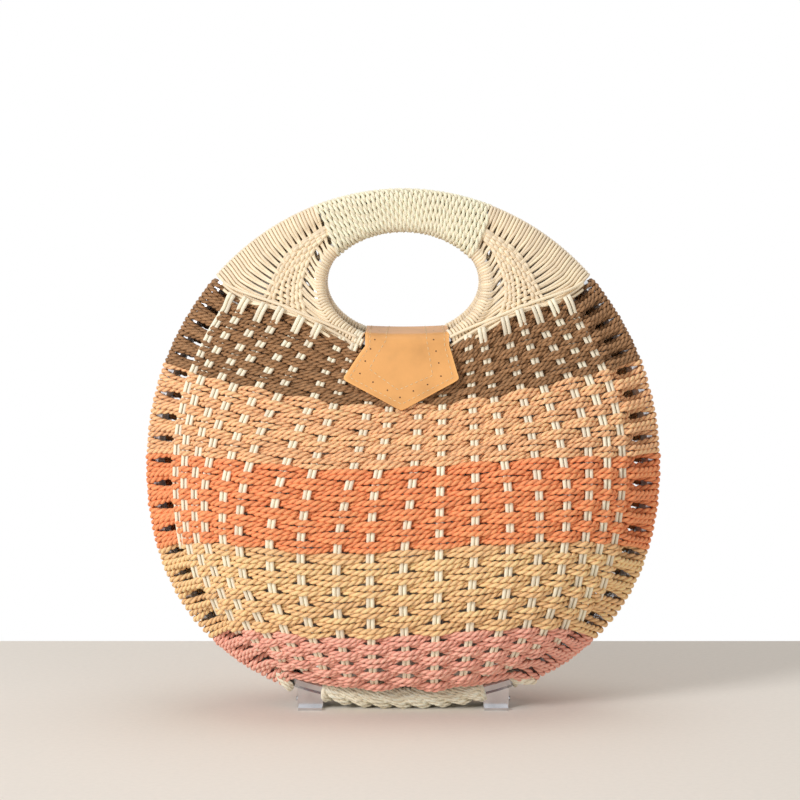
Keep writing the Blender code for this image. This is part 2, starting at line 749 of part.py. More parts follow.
def flap_slope():
    """How far the hanging flap leans forward, so that the snap just fits between it and the weave."""
    stack = SNAP_PLATE_THICKNESS + SNAP_GAP + SNAP_MAGNET_THICKNESS - RING_BAR_DEPTH - LEATHER_INNER
    slope = (dome_depth(0, RING_BOTTOM - SNAP_DROP) + SNAP_SEAT_GAP + stack) / SNAP_DROP
    for drop in (SNAP_DROP - SNAP_DIAMETER / 2, SNAP_DROP + SNAP_DIAMETER / 2):
        slope = max(slope, (dome_depth(0, RING_BOTTOM - drop) + SNAP_EDGE_GAP + stack) / drop)
    return slope


def flap_slope_point(drop, offset):
    """Side-view point on the flap's flat, which leans forward as it hangs, offset from its inner face."""
    slope = flap_slope()
    norm = math.hypot(1, slope)
    y = -RING_BAR_DEPTH - LEATHER_INNER - slope * drop - offset / norm
    return y, RING_BOTTOM - drop + offset * slope / norm


def flap_axis():
    return Vector((0, -RING_BAR_DEPTH - STRAP_FRONT_OVERRUN, RING_BOTTOM + LEATHER_OUTER))


def make_flap(parent):
    start = math.pi / 2 - (STRAP_FRONT_OVERRUN + FOLD_GAP) / LEATHER_INNER
    rows = bar_fold(-1, start, 0)
    top, corner = FLAP_TOP_WIDTH / 2, FLAP_CORNER_WIDTH / 2
    steps = (
        (FLAP_CORNER_DROP * 0.45, (top + corner) / 2, 0.4),
        (FLAP_CORNER_DROP * 0.92, corner * 0.99, 0.0),
        (FLAP_CORNER_DROP * 1.12, corner * 0.97, 0.0),
        ((FLAP_CORNER_DROP + FLAP_TIP_DROP) / 2, corner * 0.57, 0.0),
        (FLAP_TIP_DROP * 0.97, FLAP_TIP_WIDTH / 2, 0.0),
        (FLAP_TIP_DROP, FLAP_TIP_WIDTH / 4, 0.0),
    )
    for drop, half_width, hold in steps:
        face, back = flap_slope_point(drop, LEATHER_THICKNESS), flap_slope_point(drop, 0)
        rows.append(leather_row(half_width, face, back, hold))
    flap = wall_loft("closing_flap", rows)
    inner = flap_slope_point(SNAP_DROP, LEATHER_THICKNESS / 2)
    outer = flap_slope_point(SNAP_DROP, -SNAP_MAGNET_THICKNESS)
    combine(flap, [disc("magnet", inner, outer, SNAP_DIAMETER)], "UNION")
    finish_object(flap, "leather", parent)


def disc(name, start, end, diameter):
    """A round disc in the middle of the bag between two side-view points."""
    first, second = Vector((0, *start)), Vector((0, *end))
    shape = bmesh.new()
    bmesh.ops.create_cone(shape, cap_ends=True, segments=SNAP_SIDES, radius1=diameter / 2,
                          radius2=diameter / 2, depth=(second - first).length)
    turn = Vector((0, 0, 1)).rotation_difference(second - first).to_matrix().to_4x4()
    shape.transform(Matrix.Translation((first + second) / 2) @ turn)
    return object_from_shape(name, shape)


def make_snap_plate(parent):
    """Round plate on the weave that the flap's magnet meets."""
    face = flap_slope_point(SNAP_DROP, -SNAP_MAGNET_THICKNESS - SNAP_GAP)
    back = flap_slope_point(SNAP_DROP, -SNAP_MAGNET_THICKNESS - SNAP_GAP - SNAP_PLATE_THICKNESS)
    plate = disc("front_snap_plate", face, back, SNAP_DIAMETER)
    finish_object(plate, "leather", parent)


# Hinges

def block(name, corners_low, corners_high):
    shape = bmesh.new()
    low, high = Vector(corners_low), Vector(corners_high)
    bmesh.ops.create_cube(shape, size=1.0)
    bmesh.ops.scale(shape, vec=high - low, verts=shape.verts)
    bmesh.ops.translate(shape, vec=(low + high) / 2, verts=shape.verts)
    return object_from_shape(name, shape)


def rod(name, x_low, x_high, diameter, sides):
    """A round rod on the hinge's axis."""
    shape = bmesh.new()
    bmesh.ops.create_cone(shape, cap_ends=True, segments=sides, radius1=diameter / 2,
                          radius2=diameter / 2, depth=x_high - x_low)
    turn = Matrix.Rotation(math.pi / 2, 4, "Y")
    shape.transform(Matrix.Translation(((x_low + x_high) / 2, 0, HINGE_AXIS_HEIGHT)) @ turn)
    return object_from_shape(name, shape)


def hinge_band_rows(low, high):
    """Closed band round the hoop between two places along it."""
    inner_radius = HOOP_DIAMETER / 2 + HINGE_BAND_CLEARANCE
    rows = []
    for step in range(3):
        x = low + (high - low) * step / 2
        centre = hoop_point(lower_rim_angle_at_width(x))
        outward = hoop_outward(centre)
        rings = []
        for radius in (inner_radius + HINGE_BAND, inner_radius / math.cos(math.pi / HINGE_SIDES)):
            turn = 2 * math.pi * (1 - 1 / HINGE_SIDES)
            rings.append(wrap_arc(centre, outward, FRONT, radius, 0, turn, HINGE_SIDES))
        rows.append((rings[0], rings[1]))
    return rows


def make_leaf(side, name, parent):
    """Hinge leaf: a band round the hoop, a web down to a flat sole, and its share of the knuckle."""
    low, high = HINGE_CENTRE - HINGE_WIDTH / 2, HINGE_CENTRE + HINGE_WIDTH / 2
    leaf = wall_loft(f"{side}_hinge_leaf_{name}", hinge_band_rows(low, high), tube=True)
    band_mid = HOOP_DIAMETER / 2 + HINGE_BAND_CLEARANCE + HINGE_BAND / 2
    low_top = hoop_point(lower_rim_angle_at_width(low)).z - band_mid
    high_top = hoop_point(lower_rim_angle_at_width(high)).z - band_mid
    far, near = -HOOP_DEPTH - LEAF_WEB / 2, -HOOP_DEPTH + LEAF_WEB / 2
    web_rows = []
    foot = SOLE_THICKNESS / 2
    for x, top in ((low + LEAF_INSET, low_top), (high - LEAF_INSET, high_top)):
        web_rows.append(([Vector((x, far, foot)), Vector((x, far, top))],
                         [Vector((x, near, foot)), Vector((x, near, top))]))
    web = wall_loft("web", web_rows)
    knuckle_radius = KNUCKLE_DIAMETER / 2
    sole_back = -knuckle_radius - KNUCKLE_GAP
    sole = block("sole", (low + 2 * LEAF_INSET, sole_back - SOLE_DEPTH, 0),
                 (high - 2 * LEAF_INSET, sole_back, SOLE_THICKNESS))
    third = (HINGE_WIDTH - 2 * KNUCKLE_GAP) / 3
    if side == "front":
        spans = [(low + third + KNUCKLE_GAP, high - third - KNUCKLE_GAP)]
    else:
        spans = [(low, low + third), (high - third, high)]
    pieces = [web, sole]
    for start, end in spans:
        pieces.append(rod("knuckle", start, end, KNUCKLE_DIAMETER, KNUCKLE_SIDES))
        arm_low = HINGE_AXIS_HEIGHT - knuckle_radius / 2
        pieces.append(block("arm", (start + LEAF_INSET, near - LEAF_WEB / 2, arm_low),
                            (end - LEAF_INSET, -knuckle_radius / 2, HINGE_AXIS_HEIGHT + knuckle_radius / 2)))
    combine(leaf, pieces, "UNION")
    bore_diameter = PIN_DIAMETER + 2 * PIN_CLEARANCE
    bore = rod("bore", low - HINGE_WIDTH, high + HINGE_WIDTH, bore_diameter, KNUCKLE_SIDES)
    combine(leaf, [bore], "DIFFERENCE")
    if side == "back":
        leaf.data.transform(Matrix.Rotation(math.pi, 4, "Z"))
    if (side == "front") == (name == "left"):
        leaf.data.transform(Matrix.Scale(-1, 4, (1, 0, 0)))
        leaf.data.flip_normals()
    finish_object(leaf, "chrome", parent)


def make_hinges(front_parent):
    for name, centre in (("left", -HINGE_CENTRE), ("right", HINGE_CENTRE)):
        make_leaf("front", name, front_parent)
        make_leaf("back", name, None)
        reach = HINGE_WIDTH / 2 + PIN_OVERHANG
        pin = rod(f"hinge_pin_{name}", centre - reach, centre + reach, PIN_DIAMETER, PIN_SIDES)
        finish_object(pin, "steel", None)


def axis_empty(name, place):
    empty = linked_object(name, None)
    empty.location = place
    return empty


def same(points):
    return points


def main():
    clear_scene()
    shell_axis = axis_empty("shell_hinge_axis", Vector((0, 0, HINGE_AXIS_HEIGHT)))
    fold_axis = axis_empty("flap_fold_axis", flap_axis())
    halves = (("front", same, same, shell_axis), ("back", turned_half, turned_rows, None))
    for side, points, rows, parent in halves:
        make_hoop(side, points, parent)
        make_ring(side, points, parent)
        make_winding(side, points, parent)
        make_stripes(side, rows, parent)
        make_cream_stripe(side, rows, parent)
        make_panels(side, rows, parent)
        make_stake_fan(side, rows, parent)
        make_lining(side, rows, parent)
    make_strap()
    make_flap(fold_axis)
    make_snap_plate(shell_axis)
    make_hinges(shell_axis)


main()
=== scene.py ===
"""Basket handbag: the woven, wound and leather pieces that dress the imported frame.

The front half faces -Y. Every woven piece is modelled on the front half. The back half is the same piece
turned half a turn about Z, but its picks go over the rods that the front's go under. Lengths are in metres.
"""

import math

import bmesh
import bpy
import numpy as np
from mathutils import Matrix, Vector


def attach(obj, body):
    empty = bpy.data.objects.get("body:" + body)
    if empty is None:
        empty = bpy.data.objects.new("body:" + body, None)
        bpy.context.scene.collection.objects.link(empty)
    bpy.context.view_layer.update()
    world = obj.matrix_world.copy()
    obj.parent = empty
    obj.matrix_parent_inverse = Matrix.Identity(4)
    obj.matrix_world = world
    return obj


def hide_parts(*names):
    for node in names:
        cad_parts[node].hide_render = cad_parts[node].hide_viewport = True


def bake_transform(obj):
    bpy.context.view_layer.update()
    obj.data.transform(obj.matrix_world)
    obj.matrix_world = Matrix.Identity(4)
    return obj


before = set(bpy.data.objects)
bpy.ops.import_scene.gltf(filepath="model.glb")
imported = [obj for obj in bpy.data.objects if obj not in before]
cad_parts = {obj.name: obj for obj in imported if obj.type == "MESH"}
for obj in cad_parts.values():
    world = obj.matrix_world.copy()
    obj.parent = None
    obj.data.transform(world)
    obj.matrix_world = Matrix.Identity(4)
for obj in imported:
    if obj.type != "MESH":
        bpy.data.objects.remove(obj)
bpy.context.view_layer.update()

bl_info = {
    "name": "Basket handbag looks",
    "version": (1, 0, 0),
    "blender": (4, 5, 0),
    "location": "View3D > Sidebar > Basket",
    "description": "Weaves, winds and stitches a round basket handbag over its steel hoops",
    "category": "Object",
}

# Outline and dome of one half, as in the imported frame
BAG_DEPTH = 0.126
WIDEST_HEIGHT = 0.149
UPPER_POWER = 2.0
LOWER_POWER = 2.3
DOME_POWER = 4.6
FLATTEN_LENGTH = 0.0834
FLATTEN_SHARE = 0.54
HOOP_RADIUS = 0.004
RIM_RADIUS = 0.0076
RIM_DEPTH = 0.0079
RIM_HALF_WIDTH = 0.1464
RIM_RISE = 0.1564
RIM_FALL = 0.1399
WEAVE_TOP = 0.2134
DOME_LEAVE = 0.0095
DOME_EDGE = 0.0174
WRAP_END = math.radians(268)

# Handle ring
RING_HALF_WIDTH = 0.0507
RING_HALF_HEIGHT = 0.0368
RING_CENTRE_HEIGHT = 0.2563
RING_TOP = 0.2931
RING_BOTTOM = 0.2195
RING_BAR_DEPTH = 0.033
RING_RADIUS = 0.003
RING_CLEARANCE = 0.0005

# Stripes from the top down: picks, radius of the cord, and height of the upper edge from the left rim
# over the middle to the right rim. Between the rims, the edges of peach, orange, tan and pink began as
# heights of a curve that one program fitted through measured rows. Several heights were then shifted after
# another program had compared the render with the photo. The rest was set one by one.
EDGE_SHARES = (-1.0, -0.8, -0.45, 0.0, 0.45, 0.8, 1.0)
STRIPES = (
    ("brown", 10, 0.00150, (0.2550, 0.2448, 0.2310, 0.2134, 0.2310, 0.2448, 0.2550)),
    ("peach", 8, 0.00168, (0.2075, 0.2014, 0.1920, 0.1869, 0.1942, 0.2040, 0.2095)),
    ("orange", 8, 0.00190, (0.1545, 0.1567, 0.1528, 0.1520, 0.1568, 0.1565, 0.1550)),
    ("tan", 8, 0.00190, (0.0990, 0.1060, 0.1030, 0.1038, 0.1080, 0.1065, 0.0985)),
    ("pink", 8, 0.00172, (0.0470, 0.0520, 0.0506, 0.0516, 0.0552, 0.0535, 0.0470)),
)
FOOT_EDGE = (0.0205, 0.0180, 0.0145, 0.0138, 0.0148, 0.0182, 0.0205)
TOP_RIM_HEIGHT = 0.2563
DOME_SHARE = 0.93

# How a cord lies: its mean depth below the dome, where the weave ends beside the hoop, how far apart the two
# cords of a pick lie, and how the picks part at the hoop's wedges
CORD_DEPTH = 0.0018
WEAVE_END = 0.945
WEAVE_FADE = 0.020
PAIR_SPREAD = 0.25
WEDGE_SPLIT = 0.24
WEDGE_GATHER = -0.08
DIVE = 0.0042

# Where each column of rod pairs stands at each height, in millimetres from the middle. Another program
# measured 66 of the 190 numbers, all at heights from .05 to .20. The columns were carried on from them. A
# formula from a few driving dimensions should take the table's place.
COLUMN_HEIGHTS = (0.0, 0.03, 0.05, 0.08, 0.11, 0.14, 0.17, 0.20, 0.23, 0.26)
COLUMNS = (
    (-88, -106, -117, -127, -132.5, -134.4, -133.1, -126.5, -113, -93),
    (-84, -101, -112, -122, -128, -129.2, -127.7, -120.2, -103, -83),
    (-79, -95, -106, -116, -122, -122.7, -118.6, -108.6, -89.5, -71),
    (-73, -88, -99, -109, -116.5, -116.3, -110.4, -98.9, -78, -61),
    (-67, -80, -91, -101, -105.9, -104.6, -97.1, -83.6, -63, -48),
    (-60, -71, -81, -93, -96.5, -93.4, -84.4, -69.3, -50.5, -38),
    (-52, -60, -69, -77, -78.1, -72.7, -62.6, -48.2, -34, -26),
    (-42, -48, -54, -59.3, -59.7, -55.3, -47.0, -36, -26, -20),
    (-30, -34, -37, -39.4, -38.0, -32.3, -23.7, -18.5, -15, -13),
    (-16, -18.5, -19, -19.6, -19.4, -16.8, -10.5, -6.5, -4, -3),
    (2, 1.5, 0.5, -1.0, 0.8, 4.5, 7.8, 9.0, 9.6, 10),
    (18, 18.0, 18.3, 19.9, 20.4, 20.8, 21.9, 22.6, 23.2, 24),
    (32, 35.8, 38.1, 39.3, 41.0, 41.2, 40.7, 39.1, 37, 35),
    (44, 50, 55.2, 59.8, 61.5, 60.1, 55.7, 51.0, 45, 39),
    (54, 62.5, 70.8, 76, 78.7, 77.9, 74.2, 67.2, 60, 52),
    (62, 73, 82, 90.5, 94, 94.8, 90.0, 80.6, 70.5, 60),
    (70, 83, 94.5, 102, 106.2, 108, 107, 98, 82, 68),
    (77, 91, 103, 110, 116.3, 119, 118.8, 109.4, 94, 78),
    (83, 98, 110, 118.5, 125, 128.8, 127.6, 120.6, 105, 88),
)
MIDDLE_COLUMN = 10
COLUMN_SCALE = 0.001009
COLUMN_SHIFT = 0.0004
RODS_END = 0.942

# Cream foot: stretches between and beside the hinges, and the slanting bundles that fill them
FOOT_STRETCHES = ((-0.0465, 0.0465), (0.0655, 0.0760), (-0.0760, -0.0655))
FOOT_CORD_RADIUS = 0.0014
FOOT_CORD_LEAD = 0.0085
FOOT_BUNDLE = 0.0114
FOOT_BUNDLE_CORDS = 5
FOOT_SLIDE = 0.0160
FOOT_BULGE = 0.0040
FOOT_SINK = 0.0014

# Grip and wicker panels
GRIP_CORD_RADIUS = 0.0015
GRIP_CORD_LEAD = 0.0105
GRIP_TURN_POINTS = 28
GRIP_LENGTH = 0.100
GRIP_RING_SHARE = 0.84
PANEL_GAP = -0.0006
PANEL_FOOT_HALF_WIDTH = 0.0275
PANEL_RADIALS = 34
PANEL_ROWS = 7
PANEL_BAND_MIDDLE = 0.49
PANEL_ROW_PITCH = 0.058
PANEL_WRAP_ANGLE = math.radians(20)

# Leather strap and flap
LEATHER_INNER = 0.0061
LEATHER_THICKNESS = 0.0018
LEATHER_BEVEL = 0.00045
LEATHER_COLUMNS = 25
STRAP_LEFT = -0.0222
STRAP_RIGHT = 0.0268
FLAP_SLOPE = 0.2494
TAIL_DROP = 0.0225
TAIL_FOOT = 0.04225
# Edges of the flap at each drop below the ring's bar
FLAP_DROPS = (0.0, 0.004, 0.008, 0.012, 0.0145, 0.0160, 0.0170, 0.0180, 0.0195, 0.023, 0.027, 0.031,
              0.0334, 0.0344, 0.0349)
FLAP_LEFT = (-0.0222, -0.0253, -0.0285, -0.0316, -0.0336, -0.0346, -0.0347, -0.0338, -0.0312, -0.0245,
             -0.0168, -0.0092, -0.0048, -0.0028, -0.0014)
FLAP_RIGHT = (0.0268, 0.0282, 0.0296, 0.0309, 0.0318, 0.0323, 0.0323, 0.0314, 0.0289, 0.0222, 0.0147,
              0.0071, 0.0028, 0.0008, -0.0006)
# Rows of stitches and punched holes: place across, and run below the ring's bar or, if negative, back over it
OUTER_STITCHES = ((-0.0192, -0.098), (-0.0194, 0.0), (-0.0313, 0.0163), (-0.0010, 0.0316),
                  (0.0290, 0.0164), (0.0240, 0.0), (0.0238, -0.098))
INNER_STITCHES = ((-0.0082, -0.098), (-0.0100, -0.004), (-0.0198, 0.0116), (-0.0030, 0.0235),
                  (0.0172, 0.0152), (0.0136, -0.004), (0.0133, -0.098))
PUNCHES = ((-0.0142, -0.031), (-0.0165, -0.004), (-0.0190, 0.0014), (-0.0221, 0.0078), (-0.0252, 0.0141),
           (-0.0176, 0.0190), (-0.0092, 0.0237), (-0.0019, 0.0278), (0.0059, 0.0241), (0.0142, 0.0204),
           (0.0220, 0.0156), (0.0207, 0.0087), (0.0191, 0.0026), (0.0177, -0.004), (0.0181, -0.031))
STITCH_PITCH = 0.0031
STITCH_LENGTH = 0.0022
THREAD_RADIUS = 0.00024
PUNCH_RADIUS = 0.00048

# Stage
FLOOR_HALF_WIDTH = 1.6
FLOOR_BACK = 0.215
FLOOR_FRONT = -1.2
LAMPS = (
    ("key", (-2.2, -2.2, 1.5), 0.9, 74.0),
    ("fill", (1.9, -2.2, 0.9), 2.2, 11.0),
    ("top", (0.2, 0.3, 2.4), 1.8, 14.0),
)
LAMP_TARGET = (0, 0, 0.15)
WORLD_STRENGTH = 0.37
CAMERA_PLACE = (0, -1.555, 0.326)
CAMERA_PITCH = 5.14
CAMERA_LENS = 117.0
CAMERA_SENSOR = 36
CAMERA_SHIFT = -0.004

HALVES = (("front", "front_shell", 1.0), ("back", "back_shell", -1.0))


def srgb(red, green, blue):
    """A colour given in screen values from 0 to 255, as Blender's linear one."""
    shares = [value / 255 for value in (red, green, blue)]
    return tuple(s / 12.92 if s <= 0.04045 else ((s + 0.055) / 1.055) ** 2.4 for s in shares)


# Settings

def colour_setting(name, description, colour):
    return bpy.props.FloatVectorProperty(name=name, description=description, default=colour,
                                         size=3, min=0, max=1, subtype="COLOR")


def size_setting(name, description, default):
    return bpy.props.FloatProperty(name=name, description=description, default=default,
                                   min=0.0001, unit="LENGTH")


class WeaveSettings(bpy.types.PropertyGroup):
    cord_lead: size_setting("Cord lead", "Length of one full turn of the twist", 0.0096)
    swing: size_setting("Swing", "How far a cord swings out and in as it passes the rods", 0.0026)
    rod_radius: size_setting("Rod radius", "Half the width of one rod of a pair", 0.00122)
    strand_radius: size_setting("Wicker radius", "Half the width of a wicker strand", 0.00097)
    grip_turns: bpy.props.IntProperty(name="Grip turns", default=37, min=8,
                                      description="Turns of cord in the grip's winding")


class ColourSettings(bpy.types.PropertyGroup):
    brown: colour_setting("Brown", "Colour of the brown cord", srgb(160, 119, 82))
    peach: colour_setting("Peach", "Colour of the peach cord", srgb(255, 194, 144))
    orange: colour_setting("Orange", "Colour of the orange cord", srgb(255, 158, 106))
    tan: colour_setting("Tan", "Colour of the tan cord", srgb(252, 203, 148))
    pink: colour_setting("Dusty pink", "Colour of the dusty pink cord", srgb(255, 181, 160))
    cream: colour_setting("Cream", "Colour of the cream cord", srgb(255, 244, 216))
    wicker: colour_setting("Wicker", "Colour of the smooth wicker", srgb(255, 234, 202))
    rods: colour_setting("Rods", "Colour of the rods behind the weave", srgb(255, 243, 218))
    lining: colour_setting("Lining", "Colour of the lining", srgb(214, 211, 206))
    leather: colour_setting("Leather", "Colour of the leather", srgb(231, 169, 102))
    thread: colour_setting("Thread", "Colour of the leather's stitches", srgb(250, 216, 168))
    floor: colour_setting("Floor", "Colour of the floor", srgb(240, 234, 226))


# Node helpers

def node(tree, kind, sockets=(), **settings):
    """A node with its settings. Each socket is given a value, or an output to be linked to."""
    made = tree.nodes.new(kind)
    for name, value in settings.items():
        setattr(made, name, value)
    for key, value in dict(sockets).items():
        if isinstance(value, bpy.types.NodeSocket):
            tree.links.new(value, made.inputs[key])
        else:
            made.inputs[key].default_value = value
    return made


def maths(tree, operation, first, second=0.0):
    return node(tree, "ShaderNodeMath", {0: first, 1: second}, operation=operation).outputs[0]


def ramp(tree, factor, stops):
    made = node(tree, "ShaderNodeValToRGB", {"Fac": factor})
    band = made.color_ramp
    while len(band.elements) < len(stops):
        band.elements.new(0.5)
    for element, (place, colour) in zip(band.elements, stops):
        element.position = place
        element.color = (*colour, 1.0)
    return made.outputs["Color"]


def shade(colour, share):
    return tuple(min(value * share, 1.0) for value in colour)


def new_material(name, roughness, metallic=0.0, specular=0.5):
    made = bpy.data.materials.new(name)
    made.use_nodes = True
    shader = made.node_tree.nodes["Principled BSDF"]
    shader.inputs["Roughness"].default_value = roughness
    shader.inputs["Metallic"].default_value = metallic
    shader.inputs["Specular IOR Level"].default_value = specular
    return made, made.node_tree, shader


def finish_material(tree, shader, colour, height, distance, strength=1.0):
    tree.links.new(colour, shader.inputs["Base Color"])
    bump = node(tree, "ShaderNodeBump", {"Height": height, "Distance": distance, "Strength": strength})
    tree.links.new(bump.outputs["Normal"], shader.inputs["Normal"])


# Materials

def cord_material(name, colour, depth=1.0):
    """Twisted paper: creased along each ply, with painted shade in the groove between the plies and a painted
    highlight on each crest.
    """
    made, tree, shader = new_material(name, 0.6, specular=0.35)
    place = node(tree, "ShaderNodeUVMap", uv_map="strand")
    parts = node(tree, "ShaderNodeSeparateXYZ", {0: place.outputs[0]})
    turn = maths(tree, "MULTIPLY", parts.outputs["Y"], 2 * math.pi)
    # 1 on the crest of each ply and 0 in the groove: in the colour it paints shade in the groove and a
    # highlight on the crest, in the bump it shapes the plies
    crest_shade_and_relief = maths(tree, "ABSOLUTE", maths(tree, "COSINE", turn))
    crest_shade_and_relief = maths(tree, "POWER", crest_shade_and_relief, 0.7)
    along = maths(tree, "MULTIPLY", parts.outputs["X"], 260.0)
    across = maths(tree, "MULTIPLY", parts.outputs["Y"], 17.0)
    crease_place = node(tree, "ShaderNodeCombineXYZ", {0: along, 1: across})
    crease = node(tree, "ShaderNodeTexNoise",
                  {"Vector": crease_place.outputs[0], "Scale": 1.0, "Detail": 3.0, "Roughness": 0.6})
    spot = node(tree, "ShaderNodeTexCoord")
    patch = node(tree, "ShaderNodeTexNoise",
                 {"Vector": spot.outputs["Object"], "Scale": 90.0, "Detail": 2.0})
    tone = node(tree, "ShaderNodeAttribute", attribute_name="tone")
    # Colour factor: the painted crest highlight and groove shade, the crease noise as the paper's streaks and
    # as painted shade in the bump's creases, then each patch's and each cord's own tone
    mixed = maths(tree, "MULTIPLY", crest_shade_and_relief, 0.42)
    mixed = maths(tree, "ADD", mixed, maths(tree, "MULTIPLY", crease.outputs["Fac"], 0.42))
    mixed = maths(tree, "ADD", mixed, maths(tree, "MULTIPLY", patch.outputs["Fac"], 0.22))
    mixed = maths(tree, "ADD", mixed, maths(tree, "MULTIPLY", tone.outputs["Fac"], 0.14))
    # From painted shadow through the cord's own colour to a painted highlight; depth sets the strength of the
    # painted shade and highlight
    stops = ((0.26, shade(colour, 1 - 0.80 * depth)), (0.47, shade(colour, 1 - 0.34 * depth)),
             (0.68, colour), (0.90, shade(colour, 1 + 0.30 * depth)))
    relief = maths(tree, "ADD", maths(tree, "MULTIPLY", crest_shade_and_relief, 0.5), crease.outputs["Fac"])
    finish_material(tree, shader, ramp(tree, mixed, stops), relief, 0.0005, 1.0)
    return made


def wicker_material(name, colour):
    """Smooth peeled cane: fine streaks along the strand and a soft gloss."""
    made, tree, shader = new_material(name, 0.42, specular=0.45)
    place = node(tree, "ShaderNodeUVMap", uv_map="strand")
    parts = node(tree, "ShaderNodeSeparateXYZ", {0: place.outputs[0]})
    along = maths(tree, "MULTIPLY", parts.outputs["X"], 45.0)
    across = maths(tree, "MULTIPLY", parts.outputs["Y"], 22.0)
    streak_place = node(tree, "ShaderNodeCombineXYZ", {0: along, 1: across})
    streak = node(tree, "ShaderNodeTexNoise",
                  {"Vector": streak_place.outputs[0], "Scale": 1.0, "Detail": 3.0})
    tone = node(tree, "ShaderNodeAttribute", attribute_name="tone")
    mixed = maths(tree, "ADD", maths(tree, "MULTIPLY", streak.outputs["Fac"], 0.8),
                  maths(tree, "MULTIPLY", tone.outputs["Fac"], 0.35))
    stops = ((0.25, shade(colour, 0.68)), (0.55, shade(colour, 0.93)), (0.85, shade(colour, 1.06)))
    finish_material(tree, shader, ramp(tree, mixed, stops), streak.outputs["Fac"], 0.00012, 0.6)
    return made


def leather_material(name, colour):
    """Smooth vegetable-tanned leather with a fine grain, clouding and pale worn edges."""
    made, tree, shader = new_material(name, 0.48, specular=0.4)
    spot = node(tree, "ShaderNodeTexCoord").outputs["Object"]
    grain = node(tree, "ShaderNodeTexVoronoi", {"Vector": spot, "Scale": 1500.0}, feature="F1")
    cloud = node(tree, "ShaderNodeTexNoise", {"Vector": spot, "Scale": 55.0, "Detail": 4.0})
    edge = node(tree, "ShaderNodeAttribute", attribute_name="edge")
    mixed = maths(tree, "ADD", maths(tree, "MULTIPLY", cloud.outputs["Fac"], 0.75),
                  maths(tree, "MULTIPLY", edge.outputs["Fac"], 0.55))
    stops = ((0.2, shade(colour, 0.80)), (0.42, colour), (0.80, shade(colour, 1.16)),
             (1.0, shade(colour, 1.35)))
    relief = maths(tree, "ADD", maths(tree, "MULTIPLY", grain.outputs["Distance"], 0.5),
                   cloud.outputs["Fac"])
    finish_material(tree, shader, ramp(tree, mixed, stops), relief, 0.00008, 0.7)
    return made


def thread_material(name, colour):
    made, tree, shader = new_material(name, 0.6, specular=0.3)
    spot = node(tree, "ShaderNodeTexCoord").outputs["Object"]
    # Diagonal twist bands: darker in their troughs, painted shade between the plies, and lighter on their
    # crests, painted highlight; the same bands give the bump
    ply = node(tree, "ShaderNodeTexWave", {"Vector": spot, "Scale": 900.0, "Distortion": 2.0},
               bands_direction="DIAGONAL")
    stops = ((0.2, shade(colour, 0.7)), (0.8, shade(colour, 1.1)))
    finish_material(tree, shader, ramp(tree, ply.outputs["Fac"], stops), ply.outputs["Fac"], 0.0001)
    return made


def lining_material(name, colour):
    """Plain cotton: two crossed sets of threads with soft shading between them."""
    made, tree, shader = new_material(name, 0.85, specular=0.2)
    spot = node(tree, "ShaderNodeTexCoord").outputs["Object"]
    warp = node(tree, "ShaderNodeTexWave", {"Vector": spot, "Scale": 420.0, "Distortion": 0.6},
                bands_direction="X")
    weft = node(tree, "ShaderNodeTexWave", {"Vector": spot, "Scale": 420.0, "Distortion": 0.6},
                bands_direction="Z")
    cloth = maths(tree, "MULTIPLY", warp.outputs["Fac"], weft.outputs["Fac"])
    cloud = node(tree, "ShaderNodeTexNoise", {"Vector": spot, "Scale": 25.0})
    mixed = maths(tree, "ADD", maths(tree, "MULTIPLY", cloth, 0.5), cloud.outputs["Fac"])
    stops = ((0.25, shade(colour, 0.72)), (0.8, shade(colour, 1.05)))
    finish_material(tree, shader, ramp(tree, mixed, stops), cloth, 0.0002)
    return made


def metal_material(name, colour, roughness, scale):
    """Plated or drawn steel with faint rubbing marks and patches of haze."""
    made, tree, shader = new_material(name, roughness, 1.0)
    spot = node(tree, "ShaderNodeTexCoord").outputs["Object"]
    haze = node(tree, "ShaderNodeTexNoise", {"Vector": spot, "Scale": scale, "Detail": 5.0})
    stops = ((0.3, shade(colour, 0.82)), (0.7, colour))
    rough = node(tree, "ShaderNodeMapRange",
                 {"Value": haze.outputs["Fac"], "To Min": roughness * 0.7, "To Max": roughness * 1.6})
    tree.links.new(rough.outputs[0], shader.inputs["Roughness"])
    finish_material(tree, shader, ramp(tree, haze.outputs["Fac"], stops), haze.outputs["Fac"],
                    0.00004, 0.4)
    return made


# The outline and the dome

def smooth(share):
    share = np.clip(share, 0.0, 1.0)
    return share * share * (3 - 2 * share)


def reach(x, z):
    """0 at the middle of the bag and 1 at the hoop."""
    up = z >= WIDEST_HEIGHT
    power = np.where(up, UPPER_POWER, LOWER_POWER)
    high = np.where(up, RIM_RISE, RIM_FALL)
    across = (np.abs(x) / RIM_HALF_WIDTH) ** power
    return (across + (np.abs(z - WIDEST_HEIGHT) / high) ** power) ** (1 / power)


def dome_depth(x, z):
    flat = FLATTEN_SHARE * smooth(1 - (WEAVE_TOP - z) / FLATTEN_LENGTH)
    crown = 1 - np.minimum(reach(x, z), 1.0) ** DOME_POWER
    return DOME_EDGE + (BAG_DEPTH / 2 - DOME_EDGE) * crown * (1 - flat)


def dome_normal(x, z):
    step = 0.001
    across = (dome_depth(x + step, z) - dome_depth(x - step, z)) / (2 * step)
    along = (dome_depth(x, z + step) - dome_depth(x, z - step)) / (2 * step)
    normal = np.stack([-across, -np.ones_like(across), -along], -1)
    return normal / np.linalg.norm(normal, axis=-1, keepdims=True)


def on_dome(x, z, sink):
    normal = dome_normal(x, z)
    spot = np.stack([x, -dome_depth(x, z), z], -1)
    return spot - normal * np.reshape(sink, (-1, 1)), normal


